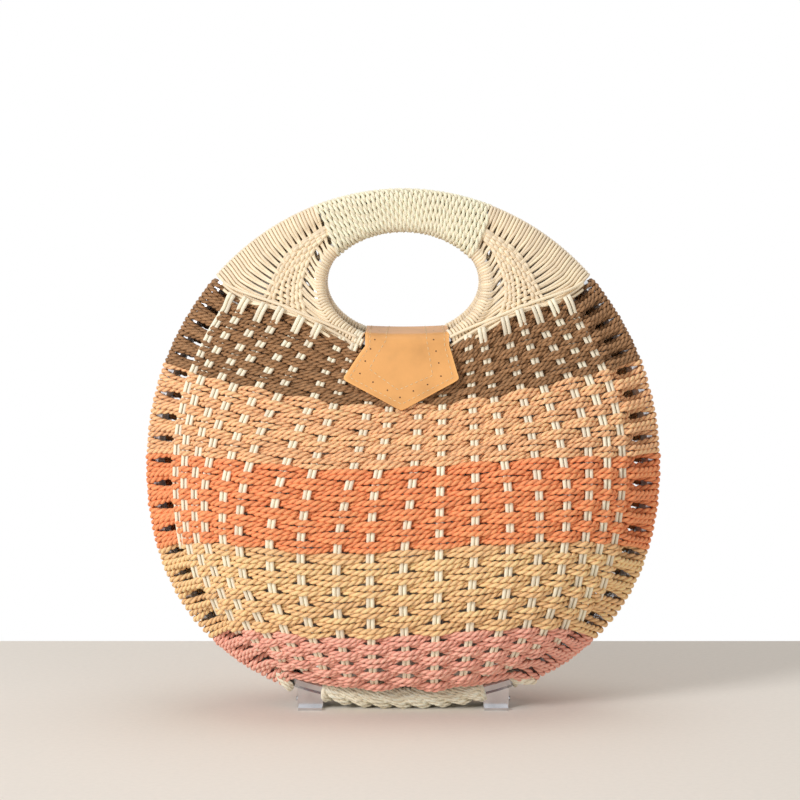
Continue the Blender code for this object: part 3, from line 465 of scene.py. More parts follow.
def rim_point(angle):
    """Centre of the hoop's tube, the angle counted upwards from the widest point on the right."""
    across, up = math.cos(angle), math.sin(angle)
    power = UPPER_POWER if up >= 0 else LOWER_POWER
    high = RIM_RISE if up >= 0 else RIM_FALL
    x = RIM_HALF_WIDTH * math.copysign(abs(across) ** (2 / power), across)
    z = WIDEST_HEIGHT + high * math.copysign(abs(up) ** (2 / power), up)
    return np.array([x, -RIM_DEPTH, z])


def rim_outward(place):
    up = place[2] >= WIDEST_HEIGHT
    power = UPPER_POWER if up else LOWER_POWER
    high = RIM_RISE if up else RIM_FALL
    rise = place[2] - WIDEST_HEIGHT
    x = math.copysign((abs(place[0]) / RIM_HALF_WIDTH) ** (power - 1) / RIM_HALF_WIDTH, place[0])
    z = math.copysign((abs(rise) / high) ** (power - 1) / high, rise)
    return np.array([x, 0, z]) / math.hypot(x, z)


def rim_angle_at_height(height):
    up = height >= WIDEST_HEIGHT
    power = UPPER_POWER if up else LOWER_POWER
    share = (height - WIDEST_HEIGHT) / (RIM_RISE if up else RIM_FALL)
    return math.copysign(math.asin(abs(share) ** (power / 2)), share)


def rim_angle_at_width(x, power, sign):
    return sign * math.acos((x / RIM_HALF_WIDTH) ** (power / 2))


def arc_round(centre, outward, radius, start, end, count):
    """Points and outward directions round a tube, from its front over its outer side."""
    angle = np.linspace(start, end, count)[:, None]
    away = outward * np.sin(angle) + np.array([0.0, -1.0, 0.0]) * np.cos(angle)
    return centre + away * radius, away


# Handle ring

def ring_point(angle):
    z = RING_CENTRE_HEIGHT + RING_HALF_HEIGHT * math.sin(angle)
    depth = RIM_DEPTH + (RING_BAR_DEPTH - RIM_DEPTH) * (RING_TOP - z) / (RING_TOP - RING_BOTTOM)
    return np.array([RING_HALF_WIDTH * math.cos(angle), -depth, z])


def ring_front():
    lean = ring_point(math.pi / 2) - ring_point(-math.pi / 2)
    front = np.cross([1.0, 0.0, 0.0], lean)
    return front / np.linalg.norm(front)


def ring_inward(angle):
    along = ring_point(angle + 0.05) - ring_point(angle - 0.05)
    inward = np.cross(ring_front(), along)
    inward /= np.linalg.norm(inward)
    middle = (ring_point(math.pi / 2) + ring_point(-math.pi / 2)) / 2
    return inward if inward @ (middle - ring_point(angle)) > 0 else -inward


# Strands

def even(points, guides, swell, step):
    """The same path with even steps, and how far along it each point is."""
    gaps = np.linalg.norm(np.diff(points, axis=0), axis=1)
    far = np.concatenate([[0.0], np.cumsum(gaps)])
    spots = np.linspace(0.0, far[-1], max(int(far[-1] / step), 2) + 1)
    both = np.concatenate([points, guides, swell[:, None]], 1)
    both = np.stack([np.interp(spots, far, both[:, i]) for i in range(7)], -1)
    soft = both.copy()
    soft[1:-1] = (both[:-2] + 2 * both[1:-1] + both[2:]) / 4
    return soft[:, :3], soft[:, 3:6], soft[:, 6:], spots


def two_ply(radius):
    """Section of a cord of two plies: angle round it and reach at each point."""
    angles = np.radians([0, 30, 60, 90, 120, 150, 180, 210, 240, 270, 300, 330])
    return angles, radius * np.array([1.0, 0.96, 0.80, 0.54, 0.80, 0.96] * 2)


def plain_section(radius, sides, flat=1.0):
    angles = np.arange(sides) * 2 * math.pi / sides
    return angles, radius * np.hypot(np.cos(angles), flat * np.sin(angles))


def strand(points, guides, section, step, lead=None, start=0.0, tone=0.5, shift=0.0, swell=None):
    """Rings of points along a path. The guides point out of the surface that the strand lies on."""
    points, guides, swell, far = even(points, guides, np.ones(len(points)) if swell is None else swell, step)
    along = np.gradient(points, axis=0)
    along /= np.linalg.norm(along, axis=1, keepdims=True)
    side = np.cross(guides, along)
    side /= np.linalg.norm(side, axis=1, keepdims=True)
    up = np.cross(along, side)
    angles, sizes = section
    sizes = sizes * swell
    turn = start + (2 * math.pi * far / lead if lead else np.zeros_like(far))
    angle = angles[None, :] + turn[:, None]
    sideways = (np.cos(angle) * sizes)[..., None] * side[:, None]
    upwards = (np.sin(angle) * sizes)[..., None] * up[:, None]
    return {"rings": points[:, None] + (sideways + upwards), "far": far + shift, "tone": tone}


def varied(points, guides, section, step, chance, start=0.0, swell=None):
    """An untwisted strand with a tone and a stretch of grain of its own."""
    return strand(points, guides, section, step, None, start, chance.uniform(0, 1), chance.uniform(0, 40),
                  swell)


def strands_object(name, strands, material, body, turned):
    """One mesh of closed tubes, with each strand's own length and turn as its UV map."""
    rings = [s["rings"] for s in strands]
    points = np.concatenate([r.reshape(-1, 3) for r in rings])
    if turned:
        points = points * np.array([-1.0, -1.0, 1.0])
    loops, starts, lengths, turns, tones = [], [], [], [], []
    base, loop_count = 0, 0
    for one in strands:
        count, sides = one["rings"].shape[:2]
        row, spot = np.meshgrid(np.arange(count - 1), np.arange(sides), indexing="ij")
        near = base + row * sides
        ahead = (spot + 1) % sides
        quads = np.stack([near + spot, near + ahead, near + sides + ahead, near + sides + spot], -1)
        loops.append(quads.reshape(-1))
        starts.append(loop_count + 4 * np.arange(quads.size // 4))
        loop_count += quads.size
        far = one["far"]
        lengths.append(np.stack([far[row], far[row], far[row + 1], far[row + 1]], -1).reshape(-1))
        share = np.stack([spot, spot + 1, spot + 1, spot], -1) / sides
        turns.append(share.reshape(-1))
        ends = ((base, range(sides - 1, -1, -1), 0), (base + (count - 1) * sides, range(sides), -1))
        for first, order, place in ends:
            loops.append(first + np.array(list(order)))
            starts.append(np.array([loop_count]))
            loop_count += sides
            lengths.append(np.full(sides, far[place]))
            turns.append(np.linspace(0, 1, sides))
        tones.append(np.full(count * sides, one["tone"]))
        base += count * sides
    mesh = bpy.data.meshes.new(name)
    mesh.vertices.add(len(points))
    mesh.vertices.foreach_set("co", points.astype(np.float32).reshape(-1))
    loops = np.concatenate(loops).astype(np.int32)
    starts = np.concatenate(starts).astype(np.int32)
    mesh.loops.add(len(loops))
    mesh.loops.foreach_set("vertex_index", loops)
    mesh.polygons.add(len(starts))
    mesh.polygons.foreach_set("loop_start", starts)
    mesh.update(calc_edges=True)
    uv = mesh.uv_layers.new(name="strand")
    uv.uv.foreach_set("vector", np.stack([np.concatenate(lengths), np.concatenate(turns)], -1)
                      .astype(np.float32).reshape(-1))
    tone = mesh.attributes.new("tone", "FLOAT", "POINT")
    tone.data.foreach_set("value", np.concatenate(tones).astype(np.float32))
    if mesh.validate():
        raise RuntimeError(f"{name} has a broken face")
    if signed_volume(mesh) < 0:
        mesh.flip_normals()
    mesh.shade_smooth()
    made = bpy.data.objects.new(name, mesh)
    bpy.context.scene.collection.objects.link(made)
    mesh.materials.append(material)
    if body:
        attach(made, body)
    return made


def signed_volume(mesh):
    mesh.calc_loop_triangles()
    corners = np.zeros(len(mesh.loop_triangles) * 3, np.int32)
    mesh.loop_triangles.foreach_get("vertices", corners)
    places = np.zeros(len(mesh.vertices) * 3, np.float32)
    mesh.vertices.foreach_get("co", places)
    tri = places.reshape(-1, 3)[corners.reshape(-1, 3)].astype(float)
    return float(np.einsum("ij,ij->i", tri[:, 0], np.cross(tri[:, 1], tri[:, 2])).sum())


# Woven stripes

def column_chart():
    """The chart of columns at fine steps of height, with its corners smoothed."""
    heights = np.arange(-0.02, 0.285, 0.001)
    smoother = np.hanning(27)[1:-1]
    places = []
    for column in COLUMNS:
        path = np.interp(np.arange(-0.045, 0.31, 0.001), COLUMN_HEIGHTS,
                         np.array(column) * COLUMN_SCALE + COLUMN_SHIFT)
        places.append(np.convolve(path, smoother / smoother.sum(), "same")[25:25 + len(heights)])
    return heights, np.array(places)


COLUMN_CHART = column_chart()


def column_places(z):
    """Where each column of rods stands at these heights, from the left to the right."""
    heights, places = COLUMN_CHART
    return np.stack([np.interp(np.atleast_1d(z), heights, column) for column in places], -1)


def column_share(x, z):
    """Which column a point of a row is beside: whole at a column, between two at a half."""
    places = column_places(z)
    numbers = np.arange(len(COLUMNS)) - MIDDLE_COLUMN
    number = np.array([np.interp(one, row, numbers) for one, row in zip(x, places)])
    beyond = np.maximum(np.abs(x) - np.where(x > 0, places[:, -1], -places[:, 0]), 0)
    return number + np.sign(x) * beyond / 0.006


def level(edge, share):
    """Height of an edge between stripes, smooth through its stations."""
    return np.polyval(np.polyfit(EDGE_SHARES, edge, 6), share)


def rim_tangent(angle):
    """The direction down along the hoop on the right."""
    along = rim_point(angle - 0.01) - rim_point(angle + 0.01)
    return along / np.linalg.norm(along)


def round_hoop(points, guides, height, radius, split, dive, lift):
    """Carries a cord on from its last point on the dome, round the right of the hoop.

    Beside the hoop the cord parts sideways towards its bundle and may dive below the surface."""
    angle = rim_angle_at_height(height)
    rim = rim_point(angle)
    outward = rim_outward(rim)
    inside = rim - outward * DOME_LEAVE
    slope = float(dome_depth(inside[0], inside[2]) - DOME_EDGE) / DOME_LEAVE
    arc, away = arc_round(rim, outward, HOOP_RADIUS + 0.95 * radius + lift, math.atan(slope), WRAP_END, 16)
    share = np.linspace(0, 1, 14)[1:-1, None]
    guides = np.concatenate([guides, guides[-1] + (away[0] - guides[-1]) * share, away])
    points = np.concatenate([points, points[-1] + (arc[0] - points[-1]) * share, arc])
    deep = (rim - points) @ outward
    beside = smooth((deep + 0.0050) / 0.0070) * (1 - smooth((deep - 0.0070) / 0.0045))
    within = smooth((deep + 0.0035) / 0.0060) * (1 - smooth((deep - 0.0075) / 0.0035))
    points = points - rim_tangent(angle) * (beside * split)[:, None] - guides * (within * dive)[:, None]
    return points, guides


def cord_path(row, pitch, pick, side, radius, swing, lift):
    """One cord of a pick: round the left of the hoop, over the dome past the rods, round the right.

    The hoop serves as the last rod: a pick that runs behind the outermost rods comes over the hoop's
    front, and the next one dives behind the cords of its two neighbours, which leaves a dark wedge."""
    mirror = np.array([-1.0, 1.0, 1.0])
    share = np.linspace(-DOME_SHARE, DOME_SHARE, 421)
    gap = np.polyval(pitch, share)
    z = np.polyval(row, share)
    heights = [float(np.polyval(row, end) + side * PAIR_SPREAD * np.polyval(pitch, end)) for end in (-1, 1)]
    edges = [rim_point(rim_angle_at_height(height))[0] for height in heights]
    x = share * np.where(share > 0, edges[1], edges[0])
    fade = 1 - smooth((reach(x, z) - WEAVE_END) / WEAVE_FADE)
    phase = np.cos(math.pi * (column_share(x, z) + pick)) * fade
    spread = gap / np.sqrt(1 - dome_normal(x, z)[:, 2] ** 2)
    swell = np.clip(spread / (4 * radius), 0.94, 1.22) * (1 + 0.08 * np.maximum(phase, 0))
    apart = np.minimum(PAIR_SPREAD + 0.07 * phase, 0.97 * radius * swell / spread)
    wave = 0.00025 * np.sin(x * 70 + pick * 2.4 + side * 1.3)
    z = z + side * gap * apart + wave
    deep = CORD_DEPTH - 0.8 * swing * np.maximum(phase, 0) + 1.2 * swing * np.maximum(-phase, 0) ** 1.7
    points, guides = on_dome(x, z, deep - lift * (1 - fade))
    halves, swells = [], []
    for end, kept in ((0, share <= 0), (1, share > 0)):
        flip = mirror if end == 0 else np.ones(3)
        order = slice(None, None, -1) if end == 0 else slice(None)
        number = -MIDDLE_COLUMN if end == 0 else len(COLUMNS) - 1 - MIDDLE_COLUMN
        in_front = (number + pick) % 2 == 0
        gap_here = float(np.polyval(pitch, 2 * end - 1))
        split = gap_here * side * (WEDGE_SPLIT if in_front else WEDGE_GATHER)
        half = round_hoop((points[kept] * flip)[order], (guides[kept] * flip)[order], heights[end], radius,
                          split, DIVE if in_front else 0.0, lift)
        halves.append([(part * flip)[order] for part in half])
        width = np.concatenate([swell[kept][order], np.full(len(half[0]) - kept.sum(), 1.0)])
        swells.append(width[order])
    return (*(np.concatenate([halves[0][i], halves[1][i]]) for i in (0, 1)), np.concatenate(swells))


def stripe_strands(number, settings, chance, turn):
    """The cords of one stripe, two to a pick. With turn 1 they go over the rods that they went under."""
    _, picks, radius, upper = STRIPES[number]
    lower = STRIPES[number + 1][3] if number + 1 < len(STRIPES) else FOOT_EDGE
    upper, lower = np.array(upper), np.array(lower)
    before = sum(stripe[1] for stripe in STRIPES[:number])
    pitch = np.polyfit(EDGE_SHARES, (upper - lower) / picks, 6)
    section = two_ply(radius)
    strands = []
    for pick in range(picks):
        row = np.polyfit(EDGE_SHARES, upper + (lower - upper) * (pick + 0.5) / picks, 6)
        for side in (1, -1):
            lift = 0.0003 * chance.uniform(0, 1.6)
            points, guides, swell = cord_path(row, pitch, before + pick + turn, side, radius, settings.swing,
                                              lift)
            lead = settings.cord_lead * chance.uniform(0.88, 1.1) * radius / 0.0019
            strands.append(strand(points, guides, section, lead / 8, -lead, chance.uniform(0, 6),
                                  chance.uniform(0, 1), chance.uniform(0, 40), swell))
    return strands


class BASKET_OT_weave(bpy.types.Operator):
    """Weaves the five coloured stripes of each half out of twisted cord"""
    bl_idname = "basket.weave"
    bl_label = "Weave the stripes"

    def execute(self, context):
        settings, colours = context.scene.basket_sizes, context.scene.basket_colours
        for side, body, sign in HALVES:
            chance = np.random.default_rng(7 if side == "front" else 19)
            for number, (name, *_) in enumerate(STRIPES):
                material = cord_material(f"{side}_{name}_cord", tuple(getattr(colours, name)))
                strands = stripe_strands(number, settings, chance, int(side == "back"))
                piece = strands_object(f"{side}_weave_{name}", strands, material, body, sign < 0)
                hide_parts(f"{side}_stripe_{name}")
        return {"FINISHED"}


def foot_strands(chance):
    """The cream cord wound slantwise round the foot of the hoop, in scalloped bundles."""
    section = two_ply(FOOT_CORD_RADIUS)
    strands = []
    for low, high in FOOT_STRETCHES:
        middle, room = (low + high) / 2, (high - low) / 2
        bundles = max(round((high - low) / FOOT_BUNDLE), 1)
        pitch = (high - low) / bundles
        for bundle in range(-1, bundles + 1) if bundles > 1 else (0,):
            for place in range(FOOT_BUNDLE_CORDS):
                x = low + pitch * (bundle + 0.5) + (place - 2) * pitch * 0.19
                points, guides = [], []
                bulge = FOOT_BULGE * math.cos((place - 2) * 0.75) - FOOT_SINK
                for angle in np.linspace(-0.75, WRAP_END, 26):
                    slide = FOOT_SLIDE * (float(smooth((angle + 0.9) / 2.9)) - 0.5)
                    far = x + slide - middle
                    beyond = max(abs(far) - room + 0.005, 0.0)
                    gathered = abs(far) - beyond + 0.006 * math.tanh(beyond / 0.006)
                    spot_x = middle + math.copysign(gathered, far)
                    centre = rim_point(rim_angle_at_width(abs(spot_x), LOWER_POWER, -1))
                    centre[0] = spot_x
                    outward = rim_outward(centre)
                    away = outward * math.sin(angle) + np.array([0.0, -1.0, 0.0]) * math.cos(angle)
                    raised = bulge * math.sin(max(angle, 0.0) / 1.6)
                    points.append(centre + away * (RIM_RADIUS - FOOT_CORD_RADIUS + raised))
                    guides.append(away)
                strands.append(strand(np.array(points), np.array(guides), section, 0.0009, -FOOT_CORD_LEAD,
                                      chance.uniform(0, 6), chance.uniform(0, 1), chance.uniform(0, 40)))
    return strands


class BASKET_OT_foot(bpy.types.Operator):
    """Winds the cream cord round the foot of each hoop, between and beside the hinges"""
    bl_idname = "basket.foot"
    bl_label = "Wind the foot"

    def execute(self, context):
        colours = context.scene.basket_colours
        for side, body, sign in HALVES:
            chance = np.random.default_rng(31 if side == "front" else 37)
            # 0.8: the foot's painted groove shade and crest highlight at four fifths of full strength
            material = cord_material(f"{side}_cream_cord", tuple(colours.cream), 0.8)
            piece = strands_object(f"{side}_weave_cream", foot_strands(chance), material, body, sign < 0)
            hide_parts(f"{side}_stripe_cream")
        return {"FINISHED"}


# Rods

def weave_top_at(x):
    """Height of the weave's upper edge above a place across the bag."""
    return level(STRIPES[0][3], np.clip(x / rim_point(rim_angle_at_height(0.255))[0], -1, 1))


def rod_strands(settings, chance):
    """Both rods of each column, straight behind the picks and out over the first ones under the panels."""
    strands = []
    section = plain_section(settings.rod_radius, 8, 0.85)
    heights = np.linspace(0.010, 0.275, 260)
    places = column_places(heights)
    for number in range(places.shape[1]):
        x = places[:, number]
        kept = (reach(x, heights) < RODS_END) & (heights < weave_top_at(x) + 0.0030)
        z = heights[kept]
        x = x[kept]
        if len(z) < 4:
            continue
        slope = np.gradient(x, z)
        across = 1 / np.hypot(1, slope)
        for side in (-1, 1):
            off = side * settings.rod_radius * 1.02
            over = smooth((z - weave_top_at(x) + 0.0080) / 0.0035) * smooth((np.abs(x) - 0.036) / 0.006)
            points, guides = on_dome(x + off * across, z - off * slope * across, 0.0014 - 0.0036 * over)
            strands.append(varied(points, guides, section, 0.0035, chance, start=0.2))
    return strands


def bar_strands(settings, sign):
    """Wicker wound tightly round the ring's lower bar, between the panels and the leather."""
    section = plain_section(settings.strand_radius, 8)
    front = ring_front()
    strands = []
    left, right = (STRAP_LEFT, STRAP_RIGHT) if sign > 0 else (-STRAP_RIGHT, -STRAP_LEFT)
    end = PANEL_FOOT_HALF_WIDTH + 0.002
    for low, high in ((-end, left - 0.0004), (right + 0.0004, end)):
        turns = max(int((high - low) / (1.9 * settings.strand_radius)), 1)
        points, guides = [], []
        for i in range(turns * 14 + 1):
            x = low + settings.strand_radius + (high - low - 2 * settings.strand_radius) * i / (turns * 14)
            angle = -math.acos(x / RING_HALF_WIDTH)
            around = 2 * math.pi * i / 14
            away = front * math.cos(around) + ring_inward(angle) * math.sin(around)
            points.append(ring_point(angle) + away * (RING_RADIUS + RING_CLEARANCE + settings.strand_radius))
            guides.append(away)
        strands.append(strand(np.array(points), np.array(guides), section, 0.0012))
    return strands


class BASKET_OT_rods(bpy.types.Operator):
    """Stands the pairs of cream rods behind the weave, and winds the ring's lower bar"""
    bl_idname = "basket.rods"
    bl_label = "Stand the rods"

    def execute(self, context):
        settings, colours = context.scene.basket_sizes, context.scene.basket_colours
        for side, body, sign in HALVES:
            chance = np.random.default_rng(41)
            material = wicker_material(f"{side}_rods_wicker", tuple(colours.rods))
            strands = rod_strands(settings, chance) + bar_strands(settings, sign)
            piece = strands_object(f"{side}_rods", strands, material, body, sign < 0)
            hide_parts(f"{side}_stake_fan")
        return {"FINISHED"}


# Wicker panels beside the hand hole

def panel_ends(share):
    """Angles on the hoop and on the ring of a radial, from the grip's end to the panel's foot."""
    rim_start = rim_angle_at_width(GRIP_LENGTH / 2 + PANEL_GAP, UPPER_POWER, 1)
    rim_end = rim_angle_at_height(TOP_RIM_HEIGHT) + 0.004
    grip_end = math.acos(GRIP_LENGTH / 2 * GRIP_RING_SHARE / RING_HALF_WIDTH)
    ring_start = grip_end - PANEL_GAP / RING_HALF_HEIGHT
    ring_end = -math.acos(PANEL_FOOT_HALF_WIDTH / RING_HALF_WIDTH)
    return rim_start + (rim_end - rim_start) * share, ring_start + (ring_end - ring_start) * share


def panel_spots(share, spots, radius):
    """Points of the panel's surface along one radial, from the hoop's front to the ring's front."""
    forward = np.array([0.0, -1.0, 0.0])
    front = ring_front()
    rim_angle, ring_angle = panel_ends(share)
    end_rim, end_ring = (f(a) for f, a in zip((rim_point, ring_point), panel_ends(1.0)))
    from_rim = rim_point(rim_angle) + forward * (RIM_RADIUS - radius)
    to_ring = ring_point(ring_angle) + front * (RING_RADIUS + RING_CLEARANCE + radius)
    edge_rim, edge_ring = end_rim + forward * RIM_RADIUS, end_ring + front * 0.0058
    points = []
    for spot in spots:
        straight = from_rim + (to_ring - from_rim) * spot
        edge = edge_rim + (edge_ring - edge_rim) * spot
        along = 1 - spot * (1 - end_ring[0] / end_rim[0])
        x = end_rim[0] * along
        top = np.array([x, -float(dome_depth(x, weave_top_at(x))), weave_top_at(x) + 0.0006])
        sag = top - edge
        sag[1] *= 1 - abs(2 * spot - 1) ** 4
        points.append(straight + sag * share ** 2)
    return np.array(points)


def panel_normal(share, spot):
    share = min(max(share, 0.02), 0.98)
    here = panel_spots(share, [spot - 0.03, spot + 0.03], 0.001)
    beside = panel_spots(share + 0.02, [spot], 0.001)[0] - panel_spots(share - 0.02, [spot], 0.001)[0]
    normal = np.cross(here[1] - here[0], beside)
    normal /= np.linalg.norm(normal)
    return normal if normal[1] < 0 else -normal


def panel_pitch(share):
    """Step from row to row of the band. The rows draw together under the grip."""
    return PANEL_ROW_PITCH * (0.62 + 0.38 * smooth(share / 0.35))


def panel_row(share, spot):
    """Which row of the band a point of the panel is beside."""
    return (spot - PANEL_BAND_MIDDLE) / panel_pitch(share) + (PANEL_ROWS - 1) / 2


def panel_spot(share, row):
    return PANEL_BAND_MIDDLE + (row - (PANEL_ROWS - 1) / 2) * panel_pitch(share)


def panel_radial(number, settings, chance):
    """One strand from the back of the hoop, over its front, through the band and round the ring."""
    radius = settings.strand_radius
    share = (number + 0.5) / PANEL_RADIALS
    pair = number // 2
    rim_angle, ring_angle = panel_ends(share)
    rim, ring = rim_point(rim_angle), ring_point(ring_angle)
    hoop_arc, hoop_away = arc_round(rim, rim_outward(rim), RIM_RADIUS - radius, PANEL_WRAP_ANGLE,
                                    WRAP_END, 16)
    around = np.linspace(0.0, WRAP_END, 14)[:, None]
    ring_away = ring_front() * np.cos(around) + ring_inward(ring_angle) * np.sin(around)
    ring_arc = ring + ring_away * (RING_RADIUS + RING_CLEARANCE + radius)
    spots = np.linspace(0.04, 0.975, 44)
    pinch = 0.54 * np.clip((spots - 0.03) / 0.28, 0, 1) + 0.28 * smooth((spots - 0.66) / 0.10)
    pinch = pinch * (1 - smooth((spots - 0.86) / 0.11))
    stray = 0.40 * math.sin(pair * 2.3 + 0.7) + 0.30 * math.sin(pair * 5.1)
    stray = stray * np.sin(math.pi * np.clip((spots - 0.64) / 0.34, 0, 1))
    own = share + ((2 * pair + 1) / PANEL_RADIALS - share) * pinch + stray / PANEL_RADIALS
    middle = np.array([panel_spots(s, [spot], radius)[0] for s, spot in zip(own, spots)])
    normals = np.array([panel_normal(share, spot) for spot in spots])
    row = panel_row(share, spots)
    banded = 1 - smooth((np.abs(row - (PANEL_ROWS - 1) / 2) - PANEL_ROWS / 2 + 0.4) / 0.8)
    lift = 0.0013 * np.cos(math.pi * (pair + row)) * banded
    sunk = 0.0022 * smooth((spots - 0.06) / 0.14) * (1 - smooth((spots - 0.86) / 0.11))
    middle = middle + normals * (lift - sunk)[:, None]
    points = np.concatenate([hoop_arc[::-1], middle, ring_arc])
    guides = np.concatenate([hoop_away[::-1], normals, ring_away])
    squeezed = 1 - 0.16 * smooth((spots - 0.05) / 0.2) * (1 - smooth((spots - 0.84) / 0.12))
    swell = np.concatenate([np.ones(len(hoop_arc)), squeezed, np.ones(len(ring_arc))])
    return varied(points, guides, plain_section(radius, 8, 0.9), 0.0014, chance, swell=swell)


def panel_crossing(row, beside, settings, chance):
    """One strand of the band, over and under the pairs, from below the grip to the lower edge."""
    radius = settings.strand_radius * (1.25 if beside else 1.15)
    shares = np.linspace(-0.035, 1.0, 110)
    wander = 0.15 * np.sin(shares * 11 + row * 1.7)
    spots = [panel_spot(s, row + beside + w) for s, w in zip(shares, wander)]
    base = np.array([panel_spots(s, [spot], radius)[0] for s, spot in zip(shares, spots)])
    normals = np.array([panel_normal(s, spot) for s, spot in zip(shares, spots)])
    phase = np.cos(math.pi * (shares * PANEL_RADIALS / 2 - 0.5 + row))
    over = 1 - smooth((shares - 0.06) / 0.10) if beside else np.zeros_like(shares)
    lift = (0.0002 - 0.0015 * phase) * (1 - over) + 0.0014 * over - 0.0022
    lift = lift + 0.0026 * smooth((shares - 0.93) / 0.07) * 0.5
    points = base + normals * lift[:, None]
    return varied(points, normals, plain_section(radius, 8, 0.9), 0.0012, chance)


def panel_edging(row, settings, chance):
    """One of the long strands that close the panel's lower edge and part towards the ring's foot."""
    radius = settings.strand_radius
    spots = np.linspace(0.0, 1.0, 60)
    base = panel_spots(1.0, spots, radius)
    normals = np.array([panel_normal(1.0, np.clip(spot, 0.04, 0.96)) for spot in spots])
    points = base + normals * (0.0010 + 0.0004 * np.sin(spots * 14 + row * 2))[:, None]
    spread = (0.0034, 0.0013, -0.0006)[row] + (0.0012, -0.0004, -0.0016)[row] * smooth((spots - 0.55) / 0.3)
    points[:, 2] += spread + 0.0007 * np.sin(spots * 8 + row * 2.2)
    return varied(points, normals, plain_section(radius, 8, 0.9), 0.0014, chance)


def panel_strands(settings, chance):
    strands = [panel_radial(number, settings, chance) for number in range(PANEL_RADIALS)]
    for row in range(PANEL_ROWS):
        for beside in ((-0.34, 0.34) if row == 0 else (0.0,)):
            strands.append(panel_crossing(row, beside, settings, chance))
    return strands + [panel_edging(row, settings, chance) for row in range(3)]


def mirrored(strands):
    return [{**one, "rings": one["rings"][:, ::-1] * np.array([-1.0, 1.0, 1.0])} for one in strands]


class BASKET_OT_wicker(bpy.types.Operator):
    """Weaves the wicker panels beside the hand hole, from the hoop to the ring"""
    bl_idname = "basket.wicker"
    bl_label = "Weave the wicker panels"

    def execute(self, context):
        settings, colours = context.scene.basket_sizes, context.scene.basket_colours
        for side, body, sign in HALVES:
            for place, name in ((1, "right"), (-1, "left")):
                chance = np.random.default_rng(53 + place)
                strands = panel_strands(settings, chance)
                if place * sign < 0:
                    strands = mirrored(strands)
                material = wicker_material(f"{side}_{name}_wicker", tuple(colours.wicker))
                piece = strands_object(f"{side}_panel_{name}", strands, material, body, sign < 0)
                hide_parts(f"{side}_wicker_{name}")
        return {"FINISHED"}


# Grip

def grip_strands(settings):
    """One cord wound in loops round the tops of the hoop and the ring."""
    radius, turns, per_turn = GRIP_CORD_RADIUS, settings.grip_turns, GRIP_TURN_POINTS
    points, guides = [], []
    forward = np.array([0.0, -1.0, 0.0])
    for i in range(turns * per_turn + 1):
        along = 2 * i / (turns * per_turn) - 1
        hoop_x = GRIP_LENGTH / 2 * along
        top = rim_point(rim_angle_at_width(abs(hoop_x), UPPER_POWER, 1))
        top[0] = hoop_x
        bottom = ring_point(math.acos(hoop_x * GRIP_RING_SHARE / RING_HALF_WIDTH))
        down = bottom - top
        down /= np.linalg.norm(down)
        front = forward - down * (forward @ down)
        front /= np.linalg.norm(front)
        spot = (i / per_turn % 1) * 2
        angle = math.pi * (spot % 1) * 1.06
        if spot >= 1:
            away = -front * math.cos(angle) + down * math.sin(angle)
            points.append(bottom + away * (RING_RADIUS + 0.0006 + radius))
        else:
            away = front * math.cos(angle) - down * math.sin(angle)
            points.append(top + away * (HOOP_RADIUS + 0.0008 + radius))
        guides.append(away)
    return [strand(np.array(points), np.array(guides), two_ply(radius), 0.0012, -GRIP_CORD_LEAD)]


class BASKET_OT_grip(bpy.types.Operator):
    """Winds the cream grip round the tops of the hoop and the ring"""
    bl_idname = "basket.grip"
    bl_label = "Wind the grip"

    def execute(self, context):
        settings, colours = context.scene.basket_sizes, context.scene.basket_colours
        for side, body, sign in HALVES:
            # 0.35: the grip's painted groove shade and crest highlight kept weak
            material = cord_material(f"{side}_grip_cord", tuple(colours.cream), 0.35)
            piece = strands_object(f"{side}_grip", grip_strands(settings), material, body, sign < 0)
            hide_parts(f"{side}_grip_winding")
        return {"FINISHED"}


# Lining

class BASKET_OT_lining(bpy.types.Operator):
    """Stretches the cloth lining inside each half"""
    bl_idname = "basket.lining"
    bl_label = "Stretch the lining"

    def execute(self, context):
        colours = context.scene.basket_colours
        for side, body, sign in HALVES:
            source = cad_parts[f"{side}_lining"]
            piece = source.copy()
            piece.data = source.data.copy()
            piece.name = f"{side}_lining_cloth"
            for key in list(piece.keys()):
                del piece[key]
            piece.hide_render = False
            piece.parent = None
            context.scene.collection.objects.link(piece)
            shape = bmesh.new()
            shape.from_mesh(piece.data)
            bmesh.ops.remove_doubles(shape, verts=shape.verts, dist=1e-5)
            shape.to_mesh(piece.data)
            shape.free()
            bpy.ops.object.select_all(action="DESELECT")
            context.view_layer.objects.active = piece
            piece.select_set(True)
            finer = piece.modifiers.new("finer", "SUBSURF")
            finer.levels = finer.render_levels = 2
            finer.subdivision_type = "SIMPLE"
            bpy.ops.object.modifier_apply(modifier="finer")
            piece.data.materials.clear()
            piece.data.materials.append(lining_material(f"{side}_lining_cotton", tuple(colours.lining)))
            piece.data.shade_smooth()
            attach(piece, body)
            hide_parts(f"{side}_lining")
        return {"FINISHED"}


# Leather

